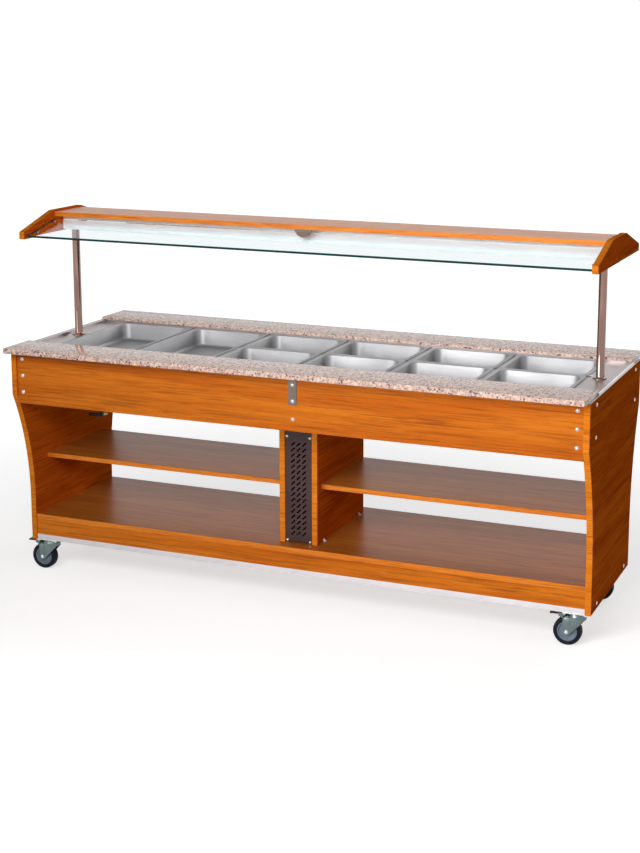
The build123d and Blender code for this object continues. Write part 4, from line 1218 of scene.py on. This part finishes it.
@dataclass
class Fasteners:
    """Domed screws with a socket, and hexagon bolts."""

    underneath: float = 300 * MM

    def dome(self, radius: float, height: float) -> Object:
        """Turns a washer with a dome and sinks a socket in it.

        Args:
            radius: the washer's radius.
            height: the dome's height over its seat.

        Returns:
            The screw's head, about the origin.
        """
        shares = ((1, 0), (1, 0.22), (0.93, 0.34), (0.80, 0.34), (0.76, 0.46), (0.66, 0.74), (0.46, 0.94), (0.26, 1))
        head = turned([(radius * across, height * up) for across, up in shares])
        with shaping(head):
            pick_faces(head, lambda middle, normal: middle.z > height * 0.98 and normal.z > ALONG)
            bpy.ops.mesh.inset(thickness=radius * 0.03)
            extrude((0, 0, -height * 0.45))
        return smooth(settle(head), 30)

    def hexagon(self, across: float, height: float) -> Object:
        """Makes a chamfered hexagon head about the origin."""
        clear_selection()
        bpy.ops.mesh.primitive_circle_add(vertices=6, radius=across, fill_type="NGON")
        head = bpy.context.active_object
        with shaping(head):
            bpy.ops.mesh.select_all(action="SELECT")
            for rise, share in ((0.15, 1), (0.7, 1), (0.15, 0.88)):
                extrude((0, 0, height * rise), (0, 0, height), (share, share, 1))
        return settle(head)

    def build(self) -> None:
        """Finds each screw's seat in the frame and puts a head on it."""
        side_panels = frame["nodes"]["side_panels"]
        middle_x = sum(corner[0] for corner in side_panels.bound_box) / 8
        masters: dict[tuple[str, int], Object] = {}
        heads: list[Object] = []
        bolts: list[Object] = []
        for low, high in solids("assembly_screws"):
            size, at = high - low, (low + high) / 2
            thin = min(range(3), key=lambda axis: size[axis])
            across = (max(size.x, size.y) if thin == 2 else max(size)) / 2
            shape, batch = (self.hexagon, bolts) if thin == 2 else (self.dome, heads)
            key = (shape.__name__, round(across / MM))
            if key not in masters:
                masters[key] = shape(across, size[thin])
            # A head looks away from the cart's middle, and the bolts under it look down
            outward = (at.x - middle_x, at.y, at.z - self.underneath)[thin] > 0
            upper, lower = ((Turn.RIGHT, Turn.LEFT), (Turn.REAR, Turn.FRONT), (Turn.UP, Turn.DOWN))[thin]
            at[thin] = low[thin] if outward else high[thin]
            batch.append(place(copied(masters[key]), at, (upper if outward else lower).value))
        discard(*masters.values())
        fit(joined(heads), "domed_screws", "cabinet", SCREW_STEEL, ["assembly_screws"])
        fit(joined(bolts), "hexagon_bolts", "cabinet", ZINC_BRIGHT, ["assembly_screws"])


@dataclass
class Casters:
    """Swivel casters: plate, race, fork, hub, tyre, and the front ones' brake pedals."""

    plate: tuple[float, float, float] = (92 * MM, 85 * MM, 3 * MM)
    race: float = 28 * MM
    crown_radius: float = 33 * MM
    wheel: float = 50 * MM
    tread: float = 15 * MM
    hub: float = 35 * MM
    hub_edge: float = 13 * MM
    trail: float = 32 * MM
    leg_inner: float = 18.5 * MM
    leg_sheet: float = 2.5 * MM
    crown_low: float = 104 * MM
    crown_high: float = 107 * MM
    race_low: float = 119 * MM
    plate_low: float = 125 * MM
    # Radius and height of the king pin's nut
    nut: Span = (10 * MM, 5.4 * MM)
    # How far the fork's legs, its bridge and the drawn nose reach
    leg_ends: Span = (-46 * MM, 26 * MM)
    leg_rise: float = 37 * MM
    bridge_ends: Span = (-43 * MM, 18 * MM)
    nose_low: float = 74 * MM
    rib: RGB = (3 * MM, 2 * MM, 44 * MM)
    # The pedal's pin, as X and Z
    pivot: Span = (-52 * MM, 110 * MM)
    pedal_tip: float = -93 * MM
    pedal_half: float = 24 * MM
    neck_half: float = 17.5 * MM
    treads: int = 4
    tread_pitch: float = 3.6 * MM

    @property
    def outer(self) -> float:
        """Half the fork's width over its legs."""
        return self.leg_inner + self.leg_sheet

    def mounting(self) -> Object:
        """Makes the plate with its fixed race and king pin, about the swivel's axis."""
        plate = block(self.plate, (0, 0, self.plate_low + self.plate[2] / 2))
        round_edges(plate, 6 * MM, 4, upright)
        round_edges(plate, 0.6 * MM, 2, lambda middle, along: abs(along.z) < 0.5)
        heights = (self.race_low, self.race_low + 0.8 * MM, self.race_low + 2.4 * MM, self.plate_low - 1.5 * MM)
        shares = (0.86, 0.97, 1, 1.02, 1.10)
        race = turned([(self.race * share, z) for share, z in zip(shares, (*heights, self.plate_low))], 56)
        nut_low = self.crown_low - 6 * MM
        pin = turned([(6 * MM, nut_low + 0.2 * MM), (6 * MM, self.race_low)])
        radius, height = self.nut
        nut_at = (0, 0, nut_low + height / 2)
        clear_selection()
        bpy.ops.mesh.primitive_cylinder_add(vertices=6, radius=radius, depth=height, location=nut_at)
        nut = fixed()
        round_edges(nut, 0.8 * MM, 2, level)
        return smooth(settle(joined([plate, race, pin, nut])), 35)

    def leg(self, side: int, braked: bool) -> Object:
        """Presses one leg of the fork from sheet, raked back to the axle.

        Args:
            side: -1 for the front leg and 1 for the rear one.
            braked: whether it carries an ear for the pedal's pin.

        Returns:
            The leg, about the swivel's axis.
        """
        middle_y = side * (self.leg_inner + self.leg_sheet / 2)
        left, right = self.leg_ends
        piece = box_between((left, right), middle_y, self.leg_sheet, (self.leg_rise, self.crown_high))
        cut(piece, (right, 0, 92 * MM), (50, 0, -49))
        cut(piece, (left, 0, 78 * MM), (-41, 0, -4))
        round_edges(piece, 6.6 * MM, 6, lambda middle, along: abs(along.y) > ALONG and middle.z < self.wheel)
        with shaping(piece):
            pick_faces(piece, facing(1, side))
            bpy.ops.mesh.inset(thickness=4 * MM)
            extrude((0, side * 1.4 * MM, 0), (-24 * MM, middle_y, 80 * MM), (0.9, 1, 0.95))
        settle(piece)
        rib = block(self.rib, (-22 * MM, side * (self.outer + 1.6 * MM), 82 * MM))
        round_edges(rib, 0.9 * MM, 3)
        pieces = [piece, rib, *(self.ear(side) if braked else [])]
        for part in pieces:
            soften(part, 0.6 * MM, 40)
        return joined(pieces)

    def ear(self, side: int) -> list[Object]:
        """Cuts the ear that carries the pedal's pin, with the pin's head.

        Args:
            side: -1 for the front leg and 1 for the rear one.

        Returns:
            The ear and the head.
        """
        pivot_x, pivot_z = self.pivot
        left, right = pivot_x - 10 * MM, pivot_x + 14 * MM
        middle_y = side * (self.leg_inner + self.leg_sheet / 2)
        heights = (self.crown_low - 6 * MM, pivot_z + 5.5 * MM)
        plate = box_between((left, right), middle_y, self.leg_sheet, heights)
        cut(plate, (left, 0, pivot_z - 4 * MM), (-8, 0, -14))
        cut(plate, (right, 0, pivot_z - 2 * MM), (6, 0, 9))
        round_edges(plate, 3 * MM, 4, lambda middle, along: abs(along.y) > ALONG and middle.x < pivot_x)
        head = turned(in_mm((4, 0), (4, 1), (2.6, 1.9)), 16)
        place(head, (pivot_x, side * self.outer, pivot_z), (Turn.FRONT if side < 0 else Turn.REAR).value)
        return [plate, head]

    def nose(self) -> Object:
        """Draws the sheet down round the front of the swivel head, between the legs."""
        outer, inner = self.crown_radius, self.crown_radius - self.leg_sheet
        low, high = self.nose_low, self.crown_high
        outline = [(inner, low), (outer, low), (outer, high), (inner, high)]
        wall = turned(outline, 64, True)
        cut(wall, (24 * MM, 0, 0), (-1, 0, 0))
        cut(wall, (outer, 0, 98 * MM), (0.45, 0, -1))
        parts = [wall]
        for side in (-1, 1):
            cheek = turned(outline, 64, True)
            cut(cheek, (25 * MM, 0, 0), (1, 0, 0))
            cut(cheek, (8 * MM, 0, 0), (-1, 0, 0))
            cut(cheek, (0, side * self.leg_inner, 0), (0, -side, 0))
            parts.append(cut(cheek, (outer, 0, 99 * MM), (0.75, 0, -1)))
        return joined(parts)

    def fork(self, braked: bool) -> Object:
        """Makes a fork: crown with its race, drawn nose and two legs.

        Args:
            braked: whether it carries the pedal's pin.

        Returns:
            The fork, about the swivel's axis.
        """
        low, high, top = self.crown_low, self.crown_high, self.race_low
        heights = (low, low + 1.5 * MM, high + 1 * MM, high + 3.5 * MM, high + 7 * MM, top - 1.2 * MM, top - 0.4 * MM)
        shares = (0.98, 1, 1, 0.985, 0.93, 0.90, 0.86)
        crown = turned([(self.crown_radius * share, z) for share, z in zip(shares, heights)], 56)
        bridge = box_between(self.bridge_ends, 0, 2 * self.outer, (low, high))
        round_edges(bridge, 1.4 * MM, 3, lambda middle, along: abs(along.x) > ALONG and middle.z > low + MM)
        axle = turned([(5 * MM, -self.outer), (5 * MM, self.outer)])
        place(axle, (-self.trail, 0, self.wheel), Turn.FRONT.value)
        parts = [crown, bridge, self.nose(), axle, self.leg(-1, braked), self.leg(1, braked)]
        return smooth(settle(joined(parts)), 32)

    def axle_heads(self) -> Object:
        """Turns the washers and the domed heads at both ends of the axle."""
        parts = []
        washer = in_mm((7, 0), (7, 1.2), (6.5, 1.8), (5.5, 1.8))
        head = in_mm((5, 1.5), (5, 3), (4.2, 4.4), (2.4, 5.2))
        for side, turn in ((-1, Turn.FRONT), (1, Turn.REAR)):
            at = (-self.trail, side * (self.outer + 0.6 * MM), self.wheel)
            parts.extend(place(turned(rings, 32), at, turn.value) for rings in (washer, head))
        return smooth(settle(joined(parts)), 50)

    def wheel_pieces(self) -> tuple[Object, Object]:
        """Turns the dished hub and the tyre about the wheel's axle."""
        hub, wheel, tread, edge = (size / MM for size in (self.hub, self.wheel, self.tread, self.hub_edge))
        bore_to_rim = (5.1, -17), (11, -17), (12.5, -15.5), (14, -11), (25, -8.6), (28.5, -9.6)
        hub_side = [*bore_to_rim, (31, 0.4 - edge), (hub, -edge)]
        wall = [(hub, -edge), (hub + 1.2, -edge - 0.9), (hub + 3.0, -edge - 0.3), (hub + 4.2, -tread)]
        shoulder = ((4.2, 0), (1.4, 1.5), (0.3, 4.4), (0, 8))
        tyre_side = [*wall, *((wheel - inset, rise - tread) for inset, rise in shoulder)]
        pieces = []
        for outline, sides in ((hub_side, 56), (tyre_side, 72)):
            other_side = [(radius, -height) for radius, height in reversed(outline)]
            piece = turned(in_mm(*outline, *other_side), sides, True)
            place(piece, (-self.trail, 0, self.wheel), Turn.FRONT.value)
            pieces.append(smooth(piece, 32))
        return pieces[0], pieces[1]

    def pedal(self) -> Object:
        """Presses the brake pedal: a ribbed foot pad, a neck over the pin and the shoe."""
        pivot_x, pivot_z = self.pivot
        top, low = pivot_z + 8.5 * MM, pivot_z + 1.6 * MM
        start, end = pivot_x - 11 * MM, self.pedal_tip + 14 * MM
        pad = box_between((end, start), 0, 2 * self.pedal_half, (low, top))
        with shaping(pad):
            pick_faces(pad, facing(0, -1))
            extrude((self.pedal_tip - end, 0, -3.4 * MM), (self.pedal_tip, 0, pivot_z + 1 * MM), (1, 0.86, 0.9))
        round_edges(pad, 3 * MM, 4, lambda middle, along: middle.x < end - 5 * MM and abs(along.z) > 0.5)
        soften(pad, 0.9 * MM, 40)
        parts = [pad]
        for index in range(self.treads):
            x = start - 5 * MM - index * self.tread_pitch
            rib = block((1.5 * MM, 2 * self.pedal_half - 10 * MM, 0.9 * MM), (x, 0, top + 0.2 * MM))
            round_edges(rib, 0.3 * MM, 2)
            parts.append(rib)
        neck_z = pivot_z + 5.8 * MM
        heights = (neck_z - 2.1 * MM, neck_z + 2.1 * MM)
        neck = box_between((start - 2 * MM, -36 * MM), 0, 2 * self.neck_half, heights)
        round_edges(neck, 0.9 * MM, 2)
        parts.append(neck)
        for radius, x, z in ((6.5 * MM, pivot_x - 1 * MM, pivot_z - 4 * MM), (5.6 * MM, pivot_x, pivot_z)):
            roll = turned([(radius, -self.neck_half), (radius, self.neck_half)])
            parts.append(place(roll, (x, 0, z), Turn.FRONT.value))
        return smooth(settle(joined(parts)), 35)

    def build(self) -> None:
        """Makes each kind of piece once and copies it to the four corners."""
        mounting = self.mounting()
        forks = {True: self.fork(True), False: self.fork(False)}
        heads = self.axle_heads()
        hub, tyre = self.wheel_pieces()
        pedal = self.pedal()
        for joint in frame["joints"]:
            if not joint["name"].startswith("swivel_"):
                continue
            corner = joint["name"].removeprefix("swivel_")
            braked = f"pedal_{corner}" in frame["nodes"]
            swivel, wheel, brake = (f"{body}_{corner}" for body in ("swivel", "wheel", "brake"))
            pieces = [
                (mounting, "caster_mounting", "cabinet", ZINC_BRIGHT, ["caster_plates"]),
                (forks[braked], "caster_fork", swivel, ZINC, [f"fork_{corner}"]),
                (heads, "caster_axle", swivel, ZINC_BRIGHT, []),
                (hub, "caster_hub", wheel, HUB, [f"hub_{corner}"]),
                (tyre, "caster_tyre", wheel, RUBBER, [f"tyre_{corner}"]),
            ]
            if braked:
                pieces.append((pedal, "brake_pedal", brake, BLACK, [f"pedal_{corner}"]))
            for piece, name, body, finish, nodes in pieces:
                at = (joint["pos_m"][0], joint["pos_m"][1], 0)
                fit(copied(piece, at), f"{name}_{corner}", body, finish, nodes)
        discard(mounting, *forks.values(), heads, hub, tyre, pedal)


@dataclass
class Controls:
    """Thermostat knob with its dial and the bezels of the two rocker switches."""

    flutes: int = 30
    knob_height: float = 20 * MM
    dial_numbers: tuple[str, ...] = ("30", "50", "70", "90")
    dial_sweep: float = math.radians(270)
    number_height: float = 6 * MM
    number_reach: float = 10 * MM
    ticks: int = 13
    tick: RGB = (2.4 * MM, 0.3 * MM, 0.6 * MM)
    tick_reach: float = 3 * MM
    bezel_reach: float = 6 * MM
    bezel_thickness: float = 1.6 * MM
    bezel_wall: float = 2.6 * MM

    @property
    def face(self) -> float:
        """Where the panel's outer face lies along Y."""
        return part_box("control_panel")[1].y

    def knob(self) -> None:
        """Turns a fluted knob with a pointer line."""
        low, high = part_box("thermostat_knob")
        centre, radius, height = (low + high) / 2, (high.x - low.x) / 2, self.knob_height
        skirt = [(radius, 0), (radius, 2.5 * MM), (radius * 0.93, 4 * MM), (radius * 0.86, 5 * MM)]
        grip = [(radius * 0.82, height - 2 * MM), (radius * 0.78, height - 0.6 * MM), (radius * 0.70, height)]
        body = turned([*skirt, *grip], 2 * self.flutes)
        facet = math.pi / self.flutes
        with shaping(body):
            pick_faces(
                body,
                lambda middle, normal: 6 * MM < middle.z < height - 3 * MM
                and round(math.atan2(middle.y, middle.x) / facet - 0.5) % 2 == 0,
            )
            bpy.ops.mesh.inset(thickness=0.35 * MM, use_individual=True)
            bpy.ops.transform.resize(value=(0.955, 0.955, 1), center_override=(0, 0, 0))
            pick_faces(body, lambda middle, normal: middle.z > height - HAIR and normal.z > ALONG)
            bpy.ops.mesh.inset(thickness=2.5 * MM)
            extrude((0, 0, -0.6 * MM))
        place(smooth(settle(body), 30), (centre.x, high.y - height, centre.z), Turn.REAR.value)
        fit(body, "knob_fluted", "knob", BLACK, ["thermostat_knob"])
        line = block((1.6 * MM, 0.5 * MM, radius * 0.62), (centre.x, high.y + 0.05 * MM, centre.z + radius * 0.42))
        round_edges(line, 0.2 * MM, 2)
        fit(line, "knob_pointer", "knob", WHITE_CLIP)
        self.dial(centre, radius)

    def number(self, word: str) -> Object:
        """Cuts one of the dial's numbers, lying about the origin."""
        clear_selection()
        bpy.ops.object.text_add()
        text = bpy.context.active_object.data
        text.body, text.size, text.extrude = word, self.number_height, 0.1 * MM
        text.align_x, text.align_y = "CENTER", "CENTER"
        bpy.ops.object.convert(target="MESH")
        return bpy.context.active_object

    def dial(self, centre: Vector, radius: float) -> None:
        """Sets numbers and tick marks round the knob.

        Args:
            centre: the knob's middle.
            radius: the knob's radius.
        """
        face = self.face + 0.05 * MM

        def set_at(mark: Object, share: float, reach: float, follows: bool) -> Object:
            """Sets a mark on the panel at its share of the sweep, turned along with the sweep or upright."""
            angle = math.pi / 2 + self.dial_sweep * (0.5 - share)
            spot = (centre.x - reach * math.cos(angle), face, centre.z + reach * math.sin(angle))
            return place(mark, spot, (0, angle, 0) if follows else (math.pi / 2, 0, math.pi))

        marks: list[Object] = []
        for index, word in enumerate(self.dial_numbers):
            share = index / (len(self.dial_numbers) - 1)
            marks.append(set_at(self.number(word), share, radius + self.number_reach, False))
        for index in range(self.ticks):
            tick = block(self.tick, (0, 0, 0))
            round_edges(tick, 0.05 * MM, 1)
            marks.append(set_at(tick, index / (self.ticks - 1), radius + self.tick_reach, True))
        fit(settle(joined(marks)), "dial_marks", "cabinet", BLACK)

    def bezel(self, low: Vector, high: Vector) -> Object:
        """Frames a rocker with a rounded bezel.

        Args:
            low: lowest corner of the rocker's box.
            high: its highest corner.

        Returns:
            The bezel.
        """
        size, centre = high - low, (low + high) / 2
        reach, thickness = self.bezel_reach, self.bezel_thickness
        middle_y = self.face + thickness / 2
        piece = block((size.x + reach, thickness, size.z + reach), (centre.x, middle_y, centre.z))
        round_edges(piece, 2 * MM, 4, lambda middle, along: abs(along.y) > ALONG)

        def by_window(middle: Vector, along: Vector) -> bool:
            """True for an edge round the bezel's window."""
            away = middle - centre
            inside = abs(away.x) < (size.x + reach / 2) / 2 and abs(away.z) < (size.z + reach / 2) / 2
            return inside and abs(along.y) < 0.5

        with shaping(piece):
            for side in (1, -1):
                pick_faces(piece, facing(1, side))
                bpy.ops.mesh.inset(thickness=self.bezel_wall)
                bpy.ops.mesh.delete(type="FACE")
            pick_edges(piece, by_window)
            bpy.ops.mesh.bridge_edge_loops()
        return settle(soften(piece, 0.4 * MM))

    def build(self) -> None:
        """Builds the operator's controls."""
        self.knob()
        bezels = [self.bezel(*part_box(node)) for node in ("power_rocker", "lamp_rocker")]
        fit(smooth(joined(bezels)), "rocker_bezels", "cabinet", BLACK)


@dataclass
class Portrait:
    """The camera that matches the photograph's viewing angle; its sizes and centre are in the photo's pixels."""

    width: int = 640
    height: int = 853
    focal_length: float = 1595.76
    centre: Span = (368.0, 336.0)
    position: RGB = (2.3018, -5.3177, 2.0904)
    yaw: float = math.radians(21.61)
    pitch: float = math.radians(-11.046)
    roll: float = math.radians(0.211)
    sensor: float = 36.0

    def build(self) -> None:
        """Adds the camera and makes it the scene's."""
        side, forward = math.cos(self.yaw), math.sin(self.yaw)
        near, drop = math.cos(self.pitch), math.sin(self.pitch)
        ahead = Vector((-forward * near, side * near, drop))
        across = Vector((side, forward, 0))
        over = across.cross(ahead)
        right = math.cos(self.roll) * across + math.sin(self.roll) * over
        up = -math.sin(self.roll) * across + math.cos(self.roll) * over
        clear_selection()
        bpy.ops.object.camera_add()
        camera = bpy.context.active_object
        camera.name = "portrait_camera"
        camera.matrix_world = Matrix.Translation(self.position) @ Matrix((right, up, -ahead)).transposed().to_4x4()
        lens = camera.data
        lens.sensor_width, lens.sensor_fit = self.sensor, "AUTO"
        lens.lens = self.focal_length * self.sensor / self.height
        lens.shift_x = (self.width / 2 - self.centre[0]) / self.height
        lens.shift_y = (self.centre[1] - self.height / 2) / self.height
        lens.clip_start, lens.clip_end = 0.1, 200
        bpy.context.scene.camera = camera


@dataclass(frozen=True)
class Lamp:
    """One soft box: its place, the point it looks at, its width and height, its watts and how wide it shines."""

    name: str
    at: RGB
    aim: RGB
    size: Span
    power: float
    spread: float = 180.0

    def hang(self) -> None:
        """Adds the lamp."""
        clear_selection()
        bpy.ops.object.light_add(type="AREA", location=self.at)
        lamp = bpy.context.active_object
        lamp.name = self.name
        lamp.data.shape = "RECTANGLE"
        lamp.data.size, lamp.data.size_y = self.size
        lamp.data.energy = self.power
        lamp.data.spread = math.radians(self.spread)
        lamp.rotation_euler = (Vector(self.aim) - Vector(self.at)).to_track_quat("-Z", "Y").to_euler()


@dataclass
class Studio:
    """Plain pale floor, even soft light and a white surround."""

    floor_size: float = 60.0
    floor_tone: RGB = (0.66, 0.66, 0.66)
    floor_roughness: float = 0.9
    # The floor glows more towards its edge, from a distance to a distance
    glow: Span = (0.62, 1.0)
    glow_reach: Span = (1.4, 4.2)
    ambient: float = 0.17
    lamps: tuple[Lamp, ...] = (
        Lamp("key_soft_box", (0.4, -4.0, 2.9), (0.2, 0, 0.6), (2.6, 1.2), 100),
        Lamp("fill_soft_box", (-1.6, -6.2, 1.9), (1.9, 0, 0.6), (3.0, 2.0), 20, 45),
        Lamp("rear_soft_box", (2.4, 5.2, 2.9), (0, 0, 0.6), (2.4, 1.8), 58),
    )
    looked_at: tuple[str, ...] = ("Is Camera Ray", "Is Glossy Ray", "Is Transmission Ray")

    def surround(self) -> None:
        """Makes the surround white to the camera, in gloss and through glass, and dim to matt surfaces."""
        world = bpy.data.worlds.new("studio surround")
        bpy.context.scene.world = world
        world.use_nodes = True
        bench = Bench(world.node_tree)
        strength = bench.reach(bench.seen(*self.looked_at), 0, 1, self.ambient, 1.0)
        glow = bench.give(bench.add("ShaderNodeBackground"), Color=(1.0, 1.0, 1.0), Strength=strength)
        bench.give(bench.add("ShaderNodeOutputWorld"), Surface=glow.outputs["Background"])

    def floor(self) -> None:
        """Lays a pale floor that keeps the cart's shadow."""
        clear_selection()
        bpy.ops.mesh.primitive_plane_add(size=self.floor_size)
        floor = bpy.context.active_object
        floor.name = "studio_floor"
        material = bpy.data.materials.new("studio floor")
        material.use_nodes = True
        bench = Bench(material.node_tree)
        away = bench.add("ShaderNodeVectorMath", operation="LENGTH")
        bench.feed(away.inputs[0], bench.add("ShaderNodeTexCoord").outputs["Object"])
        glow = bench.reach(away.outputs["Value"], *self.glow_reach, *self.glow)
        shader = bench.give(
            bench.add("ShaderNodeBsdfPrincipled"),
            Base_Color=self.floor_tone,
            Roughness=self.floor_roughness,
            Specular_IOR_Level=0.0,
            Emission_Color=(1.0, 1.0, 1.0),
            Emission_Strength=bench.sum("MULTIPLY", bench.seen(*self.looked_at), glow),
        )
        bench.give(bench.add("ShaderNodeOutputMaterial"), Surface=shader.outputs["BSDF"])
        floor.data.materials.append(material)

    def build(self) -> None:
        """Sets up the room, the lamps and how the picture is shown."""
        bpy.context.scene.view_settings.view_transform = "Standard"
        self.surround()
        self.floor()
        for lamp in self.lamps:
            lamp.hang()


def main() -> None:
    """Builds and dresses the cart in order, then sets the studio round it."""
    logging.basicConfig(level=logging.INFO, format="%(name)s: %(message)s")
    for kind in (Cabinet, ShelfFittings, PanSet, TraySlides, CanopyPosts, Canopy, Fasteners, Casters, Controls):
        log.info("building %s", kind.__name__)
        kind().build()
    Studio().build()
    Portrait().build()
    clear_selection()


if __name__ == "__main__":
    main()
